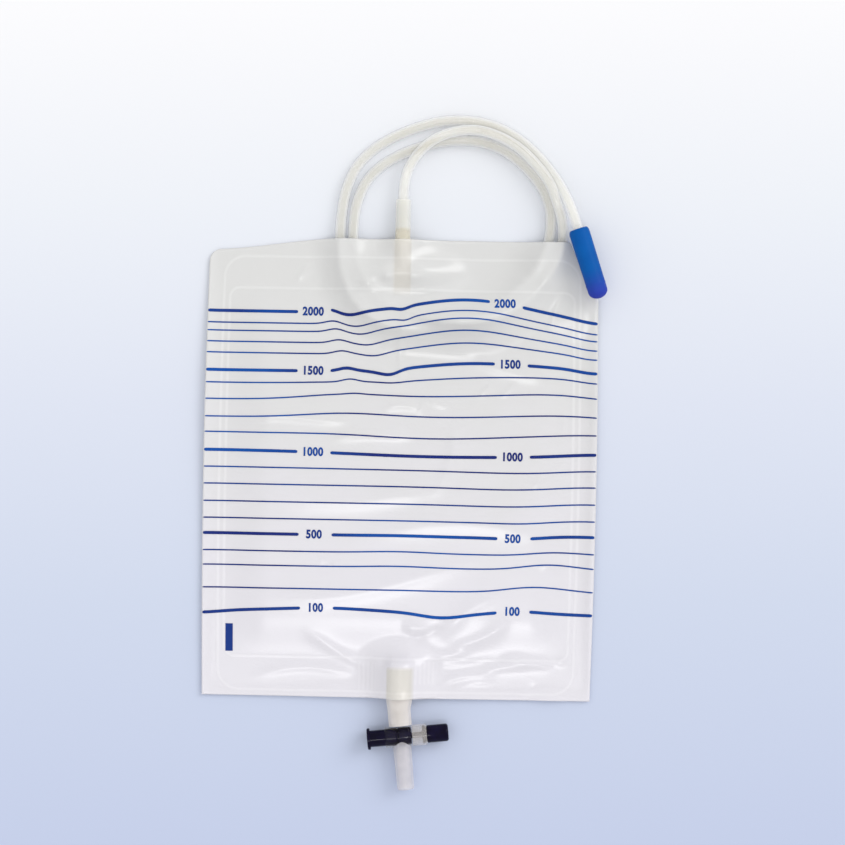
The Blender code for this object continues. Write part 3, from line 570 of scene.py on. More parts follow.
def film_sheet(name, front):
    """One sheet: a fine flat grid, cut along the fold, shaped, and given the film's gauge."""
    bpy.ops.object.select_all(action="DESELECT")
    columns = round(BAG_WIDTH / FILM_STEP)
    rows = round(BAG_HEIGHT / FILM_STEP)
    bpy.ops.mesh.primitive_grid_add(x_subdivisions=columns, y_subdivisions=rows, size=1.0)
    sheet = bpy.context.active_object
    sheet.name = name
    sheet.data.name = name
    shape = bmesh.new()
    shape.from_mesh(sheet.data)
    for vert in shape.verts:
        vert.co = (vert.co.x * BAG_WIDTH, vert.co.y * BAG_HEIGHT, 0.0)
    for turn in np.linspace(0.0, math.pi * (FOLD_RADIUS + FILM_PITCH), FOLD_CUTS):
        bmesh.ops.bisect_plane(
            shape, geom=shape.verts[:] + shape.edges[:] + shape.faces[:], dist=0.000001,
            plane_co=(half_w - FOLD_ALONG_TOP + fold_nx * turn, half_h + fold_ny * turn, 0.0),
            plane_no=(fold_nx, fold_ny, 0.0))
    shape.to_mesh(sheet.data)
    shape.free()
    points = points_of(sheet)
    flat_x, flat_y = round_corners(points[:, 0], points[:, 1])
    x, y = cut_outline(flat_x, flat_y)
    corners = np.empty(len(sheet.data.loops), dtype=int)
    sheet.data.loops.foreach_get("vertex_index", corners)
    spots = np.stack([flat_x, y], axis=1)[corners] / BAG_HEIGHT + 0.5
    sheet.data.uv_layers[0].data.foreach_set("uv", spots.ravel())
    move_points(sheet, lay_film(x, y, front))
    shape_with(sheet, "SOLIDIFY", thickness=FILM_GAUGE, offset=0.0)
    bpy.ops.object.shade_smooth()
    return sheet


rear_film = film_sheet("rear_film", False)
front_film = film_sheet("front_film", True)


# Frosted soft PVC film: calendered with a fine matt emboss, so it is milky and softly glossy.
# Two hot pressed lines all round are the weld, and where the film is welded down on a tube it
# is wetted out and clearer. Two ribbed pads beside the outlet tube close the weld there.
FUSED_REACH = 1.2 * MM
FUSED_FADE = 7.2 * MM
FUSED_DOWN = 35.0 * MM
FUSED_BY_SLEEVE = 0.62 * SLEEVE_OD
FUSED_BY_OUTLET = 0.6 * OUTLET_OD
# Each weld line: how far in from the sides, the bottom and the top, and its corner's radius.
WELD_LINES_MM = [(9.9, 3.6, 11.2, 13.0), (13.5, 23.7, 30.1, 6.0)]
WELD_SHIFT_MM = 0.6
WELD_EDGE_MM = (0.2, 1.3)
WELD_WHITER = 0.09
FUSED_TONE = "EFECE6"
FUSED_CLEARING = 0.72
FILM_TONES = ("E4E4E3", "EBE9EF")
TONE_TURN_MM = 110.0
TONE_DRIFT_MM = 60.0
# The film's tone drifts in clouds of about 45 mm. Its real emboss is finer than a pixel, so it is
# drawn as coarse as 0.9 mm.
CLOUDS_PER_MM = 0.022
EMBOSS_PER_MM = 1.1
# Each ribbed pad: its middle, and half of its width and height.
PADS_MM = ((-17.5, -124.5, 5.6, 9.0), (16.5, -122.0, 7.0, 7.0))
PAD_RIB_MM = 2.6
PAD_EDGE = (0.85, 1.05)
PAD_DEPTH = 0.6
# Blender's wave repeats in 0.314 units at scale 1.
WAVE_LENGTH = 0.314
PRESSED_SHARE = 0.6


def add_fused_share(sheet):
    """How far each point of a sheet is welded down on the sleeve or the outlet tube."""
    spots = np.empty(len(sheet.data.loops) * 2)
    sheet.data.uv_layers[0].data.foreach_get("uv", spots)
    spots = (spots.reshape(-1, 2) - 0.5) * BAG_HEIGHT
    x, y = spots[:, 0], spots[:, 1]
    on_sleeve = (smooth((FUSED_BY_SLEEVE - np.abs(x - SLEEVE_X)) / FUSED_REACH)
                 * smooth((y - half_h + FUSED_DOWN) / FUSED_FADE))
    on_outlet = (smooth((FUSED_BY_OUTLET - np.abs(x - OUTLET_X)) / FUSED_REACH)
                 * smooth((OUTLET_INSIDE - half_h - y) / FUSED_REACH))
    fused = sheet.data.attributes.new("fused", "FLOAT", "CORNER")
    fused.data.foreach_set("value", np.maximum(on_sleeve, on_outlet))


def larger_side(tree, place):
    """The larger of a place's two measures across the film."""
    parts = add_node(tree, "SeparateXYZ", links={0: place})
    return add_node(tree, "Math", {"operation": "MAXIMUM"},
                    links={0: parts.outputs["X"], 1: parts.outputs["Y"]})


def past_weld(tree, in_mm, inset_x, low, high, corner):
    """How far outside one rounded weld line a place is, in mm of the flat film."""
    middle_y = (high - low) / 2.0
    box = (half_w / MM - inset_x - corner, (BAG_HEIGHT / MM - low - high) / 2.0 - corner, 0.0)
    moved = add_node(tree, "VectorMath", {"operation": "ADD"},
                     {1: (WELD_SHIFT_MM, middle_y, 0.0)}, {0: in_mm})
    folded = add_node(tree, "VectorMath", {"operation": "ABSOLUTE"}, links={0: moved})
    past = add_node(tree, "VectorMath", {"operation": "SUBTRACT"}, {1: box}, {0: folded})
    outside = add_node(tree, "VectorMath", {"operation": "MAXIMUM"},
                       {1: (0.0, 0.0, 0.0)}, {0: past})
    length = add_node(tree, "VectorMath", {"operation": "LENGTH"}, links={0: outside})
    inner = add_node(tree, "Math", {"operation": "MINIMUM"}, {1: 0.0},
                     {0: larger_side(tree, past)})
    total = add_node(tree, "Math", {"operation": "ADD"},
                     links={0: length.outputs["Value"], 1: inner})
    return add_node(tree, "Math", {"operation": "SUBTRACT"}, {1: corner}, {0: total})


def pad_ribs(tree, in_mm, pad):
    """The ribs of one pressed pad beside the outlet tube."""
    x, y, half_x, half_y = pad
    moved = add_node(tree, "VectorMath", {"operation": "SUBTRACT"}, {1: (x, y, 0.0)}, {0: in_mm})
    share = add_node(tree, "VectorMath", {"operation": "DIVIDE"},
                     {1: (half_x, half_y, 1.0)}, {0: moved})
    folded = add_node(tree, "VectorMath", {"operation": "ABSOLUTE"}, links={0: share})
    inside = add_node(tree, "MapRange", SOFT_STEP,
                      span(*PAD_EDGE, PAD_DEPTH, 0.0), {"Value": larger_side(tree, folded)})
    ribs = add_node(tree, "TexWave", values={"Scale": WAVE_LENGTH / PAD_RIB_MM},
                    links={"Vector": in_mm})
    return add_node(tree, "Math", {"operation": "MULTIPLY"},
                    links={0: ribs.outputs["Fac"], 1: inside})


def film_material(name, alpha):
    """Frosted film: its tones, cloudiness, weld lines, pads, clearer fused places and emboss."""
    made, tree, shader = new_material(name)
    flat = add_node(tree, "UVMap")
    centred = add_node(tree, "VectorMath", {"operation": "SUBTRACT"},
                       {1: (0.5, 0.5, 0.0)}, {0: flat})
    in_mm = add_node(tree, "VectorMath", {"operation": "SCALE"},
                     {"Scale": BAG_HEIGHT / MM}, {0: centred})
    marks = [pad_ribs(tree, in_mm, pad) for pad in PADS_MM]
    for weld in WELD_LINES_MM:
        off_line = add_node(tree, "Math", {"operation": "ABSOLUTE"},
                            links={0: past_weld(tree, in_mm, *weld)})
        line = add_node(tree, "MapRange", SOFT_STEP,
                        span(*WELD_EDGE_MM, 1.0, 0.0),
                        {"Value": off_line})
        marks.append(line)
    pressed = marks[0]
    for mark in marks[1:]:
        pressed = add_node(tree, "Math", {"operation": "MAXIMUM"}, links={0: pressed, 1: mark})
    height = add_node(tree, "SeparateXYZ", links={0: in_mm})
    cloud = add_node(tree, "TexNoise",
                     values={"Scale": CLOUDS_PER_MM, "Detail": 2.0, "Roughness": 0.5},
                     links={"Vector": in_mm})
    drift = add_node(tree, "MapRange", values={"To Min": -TONE_DRIFT_MM, "To Max": TONE_DRIFT_MM},
                     links={"Value": cloud})
    level = add_node(tree, "Math", {"operation": "ADD"}, links={0: height.outputs["Y"], 1: drift})
    down = add_node(tree, "MapRange", SOFT_STEP,
                    span(TONE_TURN_MM, -TONE_TURN_MM), {"Value": level})
    tint = add_node(tree, "Mix", COLOUR_MIX,
                    {6: linear(FILM_TONES[0]), 7: linear(FILM_TONES[1])}, {0: down})
    welded_on = add_node(tree, "Attribute", {"attribute_name": "fused"})
    held = add_node(tree, "Mix", COLOUR_MIX, {7: linear(FUSED_TONE)},
                    {0: welded_on.outputs["Fac"], 6: tint.outputs[2]})
    whiter = add_node(tree, "Math", {"operation": "MULTIPLY"}, {1: WELD_WHITER}, {0: pressed})
    tone = add_node(tree, "Mix", COLOUR_MIX, {7: linear("FFFFFF")},
                    {0: whiter, 6: held.outputs[2]})
    opacity = add_node(tree, "MapRange", values={"To Min": alpha, "To Max": alpha + 0.04},
                       links={"Value": pressed})
    clearing = add_node(tree, "MapRange", values={"To Min": 1.0, "To Max": FUSED_CLEARING},
                        links={"Value": welded_on.outputs["Fac"]})
    shown = add_node(tree, "Math", {"operation": "MULTIPLY"}, links={0: opacity, 1: clearing})
    emboss = add_node(tree, "TexNoise", values={"Scale": EMBOSS_PER_MM, "Detail": 2.0},
                      links={"Vector": in_mm})
    relief = add_node(tree, "Mix", {"data_type": "FLOAT"}, {0: PRESSED_SHARE},
                      {2: emboss, 3: pressed})
    bump = add_node(tree, "Bump", values={"Strength": 0.32, "Distance": 0.3 * MM},
                    links={"Height": relief})
    set_up(tree, shader, {"Roughness": 0.24, "IOR": PVC_IOR, "Specular IOR Level": 0.6},
           {"Base Color": tone.outputs[2], "Alpha": shown, "Normal": bump})
    return made


front_looks = film_material("frosted_pvc_film", 0.74)
rear_looks = film_material("frosted_pvc_film_rear", 0.60)
for sheet, node, looks in ((rear_film, "rear_sheet", rear_looks),
                           (front_film, "front_sheet", front_looks)):
    add_fused_share(sheet)
    sheet.data.materials.append(looks)
    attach(sheet, "bag")
    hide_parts(node)

# Printed scale: navy ink on the front film, from edge to edge, with plain volume numbers.
# The ink is a skin on the film, so the lines and numbers are laid on the creased sheet.
PRINT_THICKNESS = 0.05 * MM
MAJOR_WIDTH = 1.9 * MM
MINOR_WIDTH = 0.85 * MM
PRINT_STEP = 1.0 * MM
NUMBER_SIZE = 6.9 * MM
NUMBER_BOLD = NUMBER_SIZE * 0.042
NUMBER_NARROW = 0.84
NUMBER_SPACING = 1.10
NUMBER_CUTS = 3
MERGE_WITHIN = 0.01 * MM
PRINT_INSET_MM = 0.4
LINE_END = 0.6
BAR_MM = (-102.2, -94.5, 4.4, 16.5)
BAR_ACROSS = 4
BAR_DOWN = 14
INK_CLOUDS_PER_M = 9.0  # brighter and darker ink change over about 110 mm
# The numbered marks: height on the flat film, number, and where its two prints stand across.
# Then the plain marks between them. All in mm.
NUMBERED_MM = [
    (93.0, 2000, (-53.4, 60.5)), (57.5, 1500, (-52.7, 64.0)), (9.6, 1000, (-51.8, 66.1)),
    (-40.3, 500, (-50.2, 67.4)), (-86.1, 100, (-48.8, 68.0)),
]
PLAIN_MM = [
    86.0, 81.2, 74.6, 68.0, 50.0, 40.1, 29.6, 20.4, -0.5, -10.6, -21.0, -31.1, -50.5, -59.2, -72.8,
]
NUMBER_ROOM_MM = (-9.0, 10.5)
# Where the film is pushed up or down in its own plane: centre, spread and shift, all in mm.
SHIFTS_MM = [
    ((38, 84), (30, 26), 9.3), ((122, 96), (18, 16), -4.5), ((-32, 36), (26, 9), 4.0),
    ((92, 42), (30, 17), 5.4), ((20, 17), (44, 8), -3.2), ((112, -20), (22, 30), 1.6),
    ((88, -64), (15, 11), 3.2), ((72, -80), (13, 8), 2.2), ((26, -88), (12, 6), -2.8),
    ((-42, -88), (26, 6), 2.1), ((-118, -88), (14, 6), -2.0), ((0, -54), (18, 9), 1.0),
    ((16, 34), (34, 8), 1.3), ((90, 14), (22, 14), -1.2), ((62, -8), (26, 16), -0.8),
    ((112, 66), (8, 14), -1.4), ((72, -40), (12, 10), -0.7),
]
# Small kinks beside the tube's ridge: top and bottom end, half width and shift, all in mm.
KINKS_MM = [
    ((-43, 92, -30, 48), 4.5, 1.7), ((-33, 96, -9, 56), 6.5, -2.0), ((-1, 96, 2, 84), 3.5, -1.5),
    ((-8, 62, -4, 54), 4.5, -1.3),
]
KINK_RUN_OUT = 0.3
KINK_FADE = 1.0 / 3.0


def print_shift(x, y):
    """How far the printed film is pushed along the bag's length at a place."""
    shift = np.zeros_like(x)
    for (cx, cy), (sx, sy), amount in SHIFTS_MM:
        shift += amount * np.exp(-0.5 * (((x - cx) / sx) ** 2 + ((y - cy) / sy) ** 2))
    for (x0, y0, x1, y1), width, amount in KINKS_MM:
        share = (y0 - y) / (y0 - y1)
        centre = x0 + (x1 - x0) * share
        fade = (smooth((1.0 + KINK_RUN_OUT - share) / KINK_FADE)
                * smooth((share + KINK_RUN_OUT) / KINK_FADE))
        shift += amount * fade * np.exp(-0.5 * ((x - centre) / width) ** 2)
    return shift


ink_shape = bmesh.new()


def fill_rows(rows):
    """Fills rows of points, from the lowest up, with faces that look up."""
    for lower, upper in zip(rows, rows[1:]):
        for place in range(len(lower) - 1):
            ink_shape.faces.new((lower[place], lower[place + 1], upper[place + 1], upper[place]))


def ribbon(x0, x1, level, width):
    """One printed line as a strip of faces over the flat film, in millimetres."""
    count = max(2, round((x1 - x0) * MM / PRINT_STEP))
    x = np.linspace(x0, x1, count)
    y = level + print_shift(x, np.full_like(x, level))
    ends = np.clip(np.minimum(np.arange(count), np.arange(count)[::-1]) + LINE_END, 0.0, 1.0)
    rows = []
    for side in (-0.5, 0.0, 0.5):
        offset = side * width / MM * ends
        rows.append([ink_shape.verts.new((a * MM, (b + c) * MM, 0.0))
                     for a, b, c in zip(x, y, offset)])
    fill_rows(rows)


side_mm = half_w / MM - PRINT_INSET_MM
for level in PLAIN_MM:
    ribbon(-side_mm, side_mm, level, MINOR_WIDTH)
for level, number, places in NUMBERED_MM:
    edges = [-side_mm, *[place + room for place in places for room in NUMBER_ROOM_MM], side_mm]
    for begin, end in zip(edges[::2], edges[1::2]):
        ribbon(begin, end, level, MAJOR_WIDTH)
bar_x, bar_y, bar_width, bar_height = BAR_MM
bar = [[ink_shape.verts.new(((bar_x + bar_width * across / BAR_ACROSS) * MM,
                             (bar_y - bar_height * down / BAR_DOWN) * MM, 0.0))
        for across in range(BAR_ACROSS + 1)] for down in range(BAR_DOWN + 1)]
fill_rows(bar[::-1])
ink_mesh = bpy.data.meshes.new("scale_lines")
ink_shape.to_mesh(ink_mesh)
ink_shape.free()
scale_lines = placed("printed_scale_lines", ink_mesh)

numbers = []
for level, number, places in NUMBERED_MM:
    for centre in places:
        middle = level + float(print_shift(np.array([centre]), np.array([level]))[0])
        text = bpy.data.curves.new("number", "FONT")
        text.body = str(number)
        text.size = NUMBER_SIZE
        text.offset = NUMBER_BOLD
        text.align_x = "CENTER"
        text.align_y = "CENTER"
        text.space_character = NUMBER_SPACING
        lettering = placed(f"number_{number}", text)
        lettering.location = (centre * MM, middle * MM, 0.0)
        lettering.scale = (NUMBER_NARROW, 1.0, 1.0)
        numbers.append(lettering)
take(numbers[0])
for lettering in numbers:
    lettering.select_set(True)
bpy.ops.object.convert(target="MESH")
bpy.ops.object.join()
scale_numbers = bpy.context.active_object
scale_numbers.name = "printed_scale_numbers"
bpy.ops.object.transform_apply(location=True, rotation=True, scale=True)
bpy.ops.object.mode_set(mode="EDIT")
bpy.ops.mesh.select_all(action="SELECT")
bpy.ops.mesh.remove_doubles(threshold=MERGE_WITHIN)
bpy.ops.mesh.subdivide(number_cuts=NUMBER_CUTS)
bpy.ops.object.mode_set(mode="OBJECT")

# Printing ink on soft PVC: matt, dense navy, a little brighter where it was laid on thicker.
ink, tree, shader = new_material("navy_printing_ink")
place = add_node(tree, "TexCoord")
patches = add_node(tree, "TexNoise", values={"Scale": INK_CLOUDS_PER_M, "Detail": 2.0},
                   links={"Vector": place.outputs["Object"]})
strength = add_node(tree, "MapRange", values=span(0.42, 0.62), links={"Value": patches})
tone = add_node(tree, "Mix", COLOUR_MIX, {6: linear("18276E"), 7: linear("0F4C9D")}, {0: strength})
set_up(tree, shader, {"Roughness": 0.45, "Specular IOR Level": 0.12},
       {"Base Color": tone.outputs[2]})

for piece in (scale_lines, scale_numbers):
    points = points_of(piece)
    laid = lay_film(*bow_sides(points[:, 0], points[:, 1]), True)
    laid[:, 2] += FILM_GAUGE / 2.0 + 2.0 * PRINT_THICKNESS
    move_points(piece, laid)
    shape_with(piece, "SOLIDIFY", thickness=PRINT_THICKNESS, offset=0.0)
    piece.data.materials.append(ink)
    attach(piece, "bag")

# Inlet sleeve: clear PVC tube welded between the sheets, with the inlet tube bonded in its outer
# end. The solvent and the weld have turned its middle faintly yellow.
EDGE_ROUND = 0.4 * MM
SLEEVE_FACETS = 48
SHARP_EDGE = math.radians(38.0)
bag_frame = Matrix.Translation((0.0, BAG_CENTRE_Y, 0.0)) @ Matrix.Rotation(-BAG_TILT, 4, "Z")
LAY_ALONG_Y = Matrix.Rotation(math.radians(-90.0), 4, "X")
LAY_ALONG_X = Matrix.Rotation(math.radians(90.0), 4, "Y")


def turned(name, profile, facets):
    """A closed outline of (radius, height) points turned about Z, as on a lathe."""
    mesh = bpy.data.meshes.new(name)
    ends = [(len(profile) - 1, 0)] if profile[0][0] > 0.0 else []
    mesh.from_pydata([(radius, 0.0, height) for radius, height in profile],
                     [(place, place + 1) for place in range(len(profile) - 1)] + ends, [])
    made = placed(name, mesh)
    shape_with(made, "SCREW", steps=facets, render_steps=facets, use_merge_vertices=True,
               merge_threshold=0.000001)
    bpy.ops.object.shade_smooth_by_angle(angle=SHARP_EDGE)
    return made


def finish_piece(made, material, body, node):
    """Gives a piece its material, puts it in its body, and hides the CAD node that it replaces."""
    made.data.materials.append(material)
    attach(made, body)
    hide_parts(node)


sleeve_length = SLEEVE_OUTSIDE + SLEEVE_INSIDE
outer = SLEEVE_OD / 2.0
inner = outer - SLEEVE_WALL
sleeve = turned("clear_inlet_sleeve", [
    (inner, sleeve_length), (outer - EDGE_ROUND, sleeve_length),
    (outer, sleeve_length - EDGE_ROUND), (outer, EDGE_ROUND), (outer - EDGE_ROUND, 0.0),
    (inner, 0.0)], SLEEVE_FACETS)
sleeve.data.transform(bag_frame @ Matrix.Translation((SLEEVE_X, sleeve_inner, SLEEVE_Z))
                      @ LAY_ALONG_Y)
GLUE_FROM = 143.0 * MM
GLUE_TO = 157.5 * MM
GLUE_FADE = 3.0 * MM
sleeve_pvc, tree, shader = new_material("sleeve_pvc_with_glue")
tone = clouded(tree, shader, "FEFDF5", "FFFFFA", 12.0 * MM)
place = add_node(tree, "TexCoord")
split = add_node(tree, "SeparateXYZ", links={"Vector": place.outputs["Object"]})
above = add_node(tree, "MapRange", SOFT_STEP, span(GLUE_FROM - GLUE_FADE, GLUE_FROM),
                 {"Value": split.outputs["Y"]})
below = add_node(tree, "MapRange", SOFT_STEP,
                 span(GLUE_TO, GLUE_TO + GLUE_FADE, 1.0, 0.0), {"Value": split.outputs["Y"]})
glued = add_node(tree, "Math", {"operation": "MULTIPLY"}, links={0: above, 1: below})
yellowed = add_node(tree, "Mix", COLOUR_MIX, {7: linear("F6EFDA")}, {0: glued, 6: tone.outputs[2]})
see_through(tree, shader, 0.30, 0.52)
set_up(tree, shader, {"Roughness": 0.08, "IOR": PVC_IOR}, {"Base Color": yellowed.outputs[2]})
finish_piece(sleeve, sleeve_pvc, "bag", "inlet_sleeve")

# Non-return valve: a flat sleeve of thin clear film on the inlet sleeve's inner end, round where
# it grips it and pressed flat below, so that nothing runs back up the tube.
FLAP_STEPS = 24
flap_top = sleeve_inner + FLAP_OVERLAP
down = [FLAP_LENGTH * step / FLAP_STEPS for step in range(FLAP_STEPS + 1)]
flap = turned("flat_film_valve",
              [(flap_radius, -step) for step in down]
              + [(flap_radius - FLAP_WALL, -step) for step in reversed(down)], SLEEVE_FACETS)
points = points_of(flap)
radius = np.hypot(points[:, 0], points[:, 1])
inset = flap_radius - radius
y = flap_top + points[:, 2]
flat_share = smooth((sleeve_inner - y) / (FLAP_LENGTH / 2.0))
flap_high = flap_radius + (FLAP_FLAT / 2.0 - flap_radius) * flat_share
flap_broad = flap_radius + (flap_half_width - flap_radius) * flat_share
x = SLEEVE_X + (flap_broad - inset) * points[:, 0] / radius
centre = SLEEVE_Z + flat_share * np.clip(
    sample(rear_height, x, y) + FILM_PITCH + flap_high - SLEEVE_Z, 0.0, None)
laid = np.stack([x, y, centre - (flap_high - inset) * points[:, 1] / radius], axis=1)
move_points(flap, laid)
flap.data.transform(bag_frame)
clear_film, tree, shader = new_material("thin_clear_valve_film")
clouded(tree, shader, "DAD8CF", "E6E4DC", 9.0 * MM)
set_up(tree, shader, {"Alpha": 0.30, "Roughness": 0.18, "IOR": PVC_IOR})
finish_piece(flap, clear_film, "bag", "non_return_valve")

# Outlet tube: soft milky PVC tube, pressed oval where the film is welded round it, and pushed
# over the valve's spigot at its lower end.
OUTLET_WALL = 1.5 * MM
OUTLET_LENGTH = 34.8 * MM
OUTLET_STRAIGHT = 22.0 * MM
OUTLET_BEND = 6.0 * MM
VALVE_TILT = math.radians(5.0)
SPIGOT_LENGTH = 9.0 * MM
OUTLET_STEPS = 28


def outlet_path(distance):
    """Place and turn of the outlet tube's axis, measured from its inner end."""
    bend_radius = OUTLET_BEND / (VALVE_TILT + BAG_TILT)
    angle = np.clip(distance - OUTLET_STRAIGHT, 0.0, OUTLET_BEND) / bend_radius
    after = np.clip(distance - OUTLET_STRAIGHT - OUTLET_BEND, 0.0, None)
    x = OUTLET_X + bend_radius * (1.0 - np.cos(angle)) + after * np.sin(angle)
    y = (outlet_inner - np.minimum(distance, OUTLET_STRAIGHT) - bend_radius * np.sin(angle)
         - after * np.cos(angle))
    return x, y, angle


outer = OUTLET_OD / 2.0
inner = outer - OUTLET_WALL
down = [OUTLET_LENGTH * step / OUTLET_STEPS for step in range(OUTLET_STEPS + 1)]
outlet = turned("milky_outlet_tube", [(outer, -step) for step in down]
                + [(inner, -step) for step in reversed(down)], SLEEVE_FACETS)
points = points_of(outlet)
x, y, angle = outlet_path(-points[:, 2])
oval = 1.0 - smooth((-points[:, 2] - OUTLET_INSIDE)
                    / (OUTLET_LENGTH - SPIGOT_LENGTH - OUTLET_INSIDE))
wide = points[:, 0] * (1.0 + (OVAL_WIDE_RATIO - 1.0) * oval)
tall = points[:, 1] * (1.0 + (OVAL_TALL_RATIO - 1.0) * oval)
laid = np.stack([x + wide * np.cos(angle), y + wide * np.sin(angle), OUTLET_Z - tall], axis=1)
move_points(outlet, laid)
outlet.data.transform(bag_frame)
milky_pvc, tree, shader = new_material("milky_soft_pvc")
clouded(tree, shader, "F8F2ED", "FFF9F5", 10.0 * MM)
see_through(tree, shader, 0.42, 0.78)
set_up(tree, shader, {"Roughness": 0.24, "IOR": PVC_IOR})
finish_piece(outlet, milky_pvc, "bag", "outlet_tube")

# Push-pull valve body: one clear rigid moulding, a cross barrel with a spigot up into the outlet
# tube and a drain spout down. Round the seat it is polished clear. The drafted spout and the
# knob's guide are milkier, partly their own haze and partly painted light: their paler tone
# stands in for the bright light seen through the clear plastic.
BARREL_OD = 12.6 * MM
BARREL_BORE = 10.9 * MM
BARREL_LEFT = 9.5 * MM
BARREL_RIGHT = 15.3 * MM
GUIDE_FROM = 6.6 * MM
SPIGOT_BORE = 6.2 * MM
SPOUT_REACH = 31.8 * MM
SPOUT_OD_TOP = 11.2 * MM
SPOUT_OD_END = 10.2 * MM
SPOUT_BORE = 7.8 * MM
PORT_BORE = 5.8 * MM
MOULDED_FACETS = 64

valve_x, valve_y, valve_turn = outlet_path(OUTLET_LENGTH + SEAT_GAP + BARREL_OD / 2.0)
valve_frame = (bag_frame @ Matrix.Translation((valve_x, valve_y, OUTLET_Z))
               @ Matrix.Rotation(float(valve_turn), 4, "Z"))
barrel_radius = BARREL_OD / 2.0
valve_body = turned("clear_valve_body", [
    (0.0, BARREL_RIGHT), (barrel_radius - EDGE_ROUND, BARREL_RIGHT),
    (barrel_radius, BARREL_RIGHT - EDGE_ROUND), (barrel_radius, GUIDE_FROM),
    (barrel_radius, EDGE_ROUND - BARREL_LEFT),
    (barrel_radius - EDGE_ROUND, -BARREL_LEFT), (0.0, -BARREL_LEFT)], MOULDED_FACETS)
valve_body.data.transform(LAY_ALONG_X)
spigot_radius = OUTLET_OD / 2.0 - OUTLET_WALL - SEAT_GAP
spigot_top = barrel_radius + SPIGOT_LENGTH
stem = turned("stem_form", [
    (0.0, spigot_top), (spigot_radius - EDGE_ROUND, spigot_top),
    (spigot_radius, spigot_top - EDGE_ROUND), (spigot_radius, 0.0), (SPOUT_OD_TOP / 2.0, 0.0),
    (SPOUT_OD_END / 2.0, 4.0 * EDGE_ROUND - SPOUT_REACH),
    (SPOUT_OD_END / 2.0 - 0.4 * EDGE_ROUND, 2.0 * EDGE_ROUND - SPOUT_REACH),
    (SPOUT_OD_END / 2.0 - 1.0 * EDGE_ROUND, 0.6 * EDGE_ROUND - SPOUT_REACH),
    (SPOUT_OD_END / 2.0 - 1.8 * EDGE_ROUND, -SPOUT_REACH), (0.0, -SPOUT_REACH)], MOULDED_FACETS)
past = OUTLET_LENGTH
bore = turned("bore_form", [(0.0, past), (BARREL_BORE / 2.0, past),
                            (BARREL_BORE / 2.0, GUIDE_FROM), (BARREL_BORE / 2.0, -past),
                            (0.0, -past)], MOULDED_FACETS)
bore.data.transform(LAY_ALONG_X)
spout_floor = -(barrel_radius + SEAT_GAP)
waterway = turned("waterway_form", [
    (0.0, past), (SPIGOT_BORE / 2.0, past), (PORT_BORE / 2.0, 0.0),
    (PORT_BORE / 2.0, spout_floor), (SPOUT_BORE / 2.0, spout_floor - SPOUT_BORE / 4.0),
    (SPOUT_BORE / 2.0, -past), (0.0, -past)], MOULDED_FACETS)
for form in (stem, waterway):
    form.data.transform(LAY_ALONG_Y)
for form, operation in ((stem, "UNION"), (bore, "DIFFERENCE"), (waterway, "DIFFERENCE")):
    shape_with(valve_body, "BOOLEAN", operation=operation, solver="EXACT", object=form)
    bpy.data.objects.remove(form)
bpy.ops.object.shade_smooth_by_angle(angle=SHARP_EDGE)

# Styrene: glass clear over the plunger's land with its edges just showing, hazy white in the
# guide's thick wall, and a bluish milk in the spout. The guide's and the spout's paler tones are
# partly painted light, standing in for bright light seen through the clear plastic.
STYRENE_IOR = 1.57


def styrene(name, tones, patch, face_on, edge_on, roughness):
    """One clearness of the moulding: its two tones, their patches, its haze and its gloss."""
    made, tree, shader = new_material(name)
    clouded(tree, shader, *tones, patch)
    see_through(tree, shader, face_on, edge_on)
    set_up(tree, shader, {"Roughness": roughness, "IOR": STYRENE_IOR})
    return made


# The milky spout and the hazy guide are lit copies of the clear styrene: paler with painted light.
clear_rigid = styrene("moulded_clear_styrene", ("F8F6F4", "FDFCFB"), 14.0 * MM, 0.004, 0.28, 0.05)
milky_and_lit_spout = styrene("milky_spout_with_painted_light", ("D8D6DB", "E7E3E7"), 12.0 * MM, 0.42, 0.80, 0.20)
hazy_and_lit_styrene = styrene("hazy_guide_with_painted_light", ("FAF2EE", "FFFAF7"), 8.0 * MM, 0.15, 0.42, 0.12)
for face in valve_body.data.polygons:
    off_axis = math.hypot(face.center.y, face.center.z)
    in_spout = off_axis > barrel_radius + 0.02 * MM and face.center.y < 0.0
    face.material_index = 2 if face.center.x > GUIDE_FROM else 1 if in_spout else 0
valve_body.data.transform(valve_frame)
finish_piece(valve_body, clear_rigid, "bag", "valve_body")
valve_body.data.materials.append(milky_and_lit_spout)
valve_body.data.materials.append(hazy_and_lit_styrene)

# Valve plunger: one near-black navy moulding, pushed or pulled across the barrel. From the left:
# push flange, shank, sealing land with its groove, thin waist, second seal and pull knob.
RUNNING_GAP = 0.15 * MM
FLANGE_OD = 12.9 * MM
FLANGE_THICKNESS = 1.8 * MM
SHANK_OD = 9.9 * MM
PUSH_TRAVEL = 8.8 * MM
LAND_LENGTH = 15.8 * MM
WAIST_LENGTH = 6.6 * MM
WAIST_OD = 3.4 * MM
SEAL_LENGTH = 1.8 * MM
GROOVE_LENGTH = 1.2 * MM
GROOVE_DEPTH = 0.7 * MM
KNOB_LENGTH = 12.6 * MM

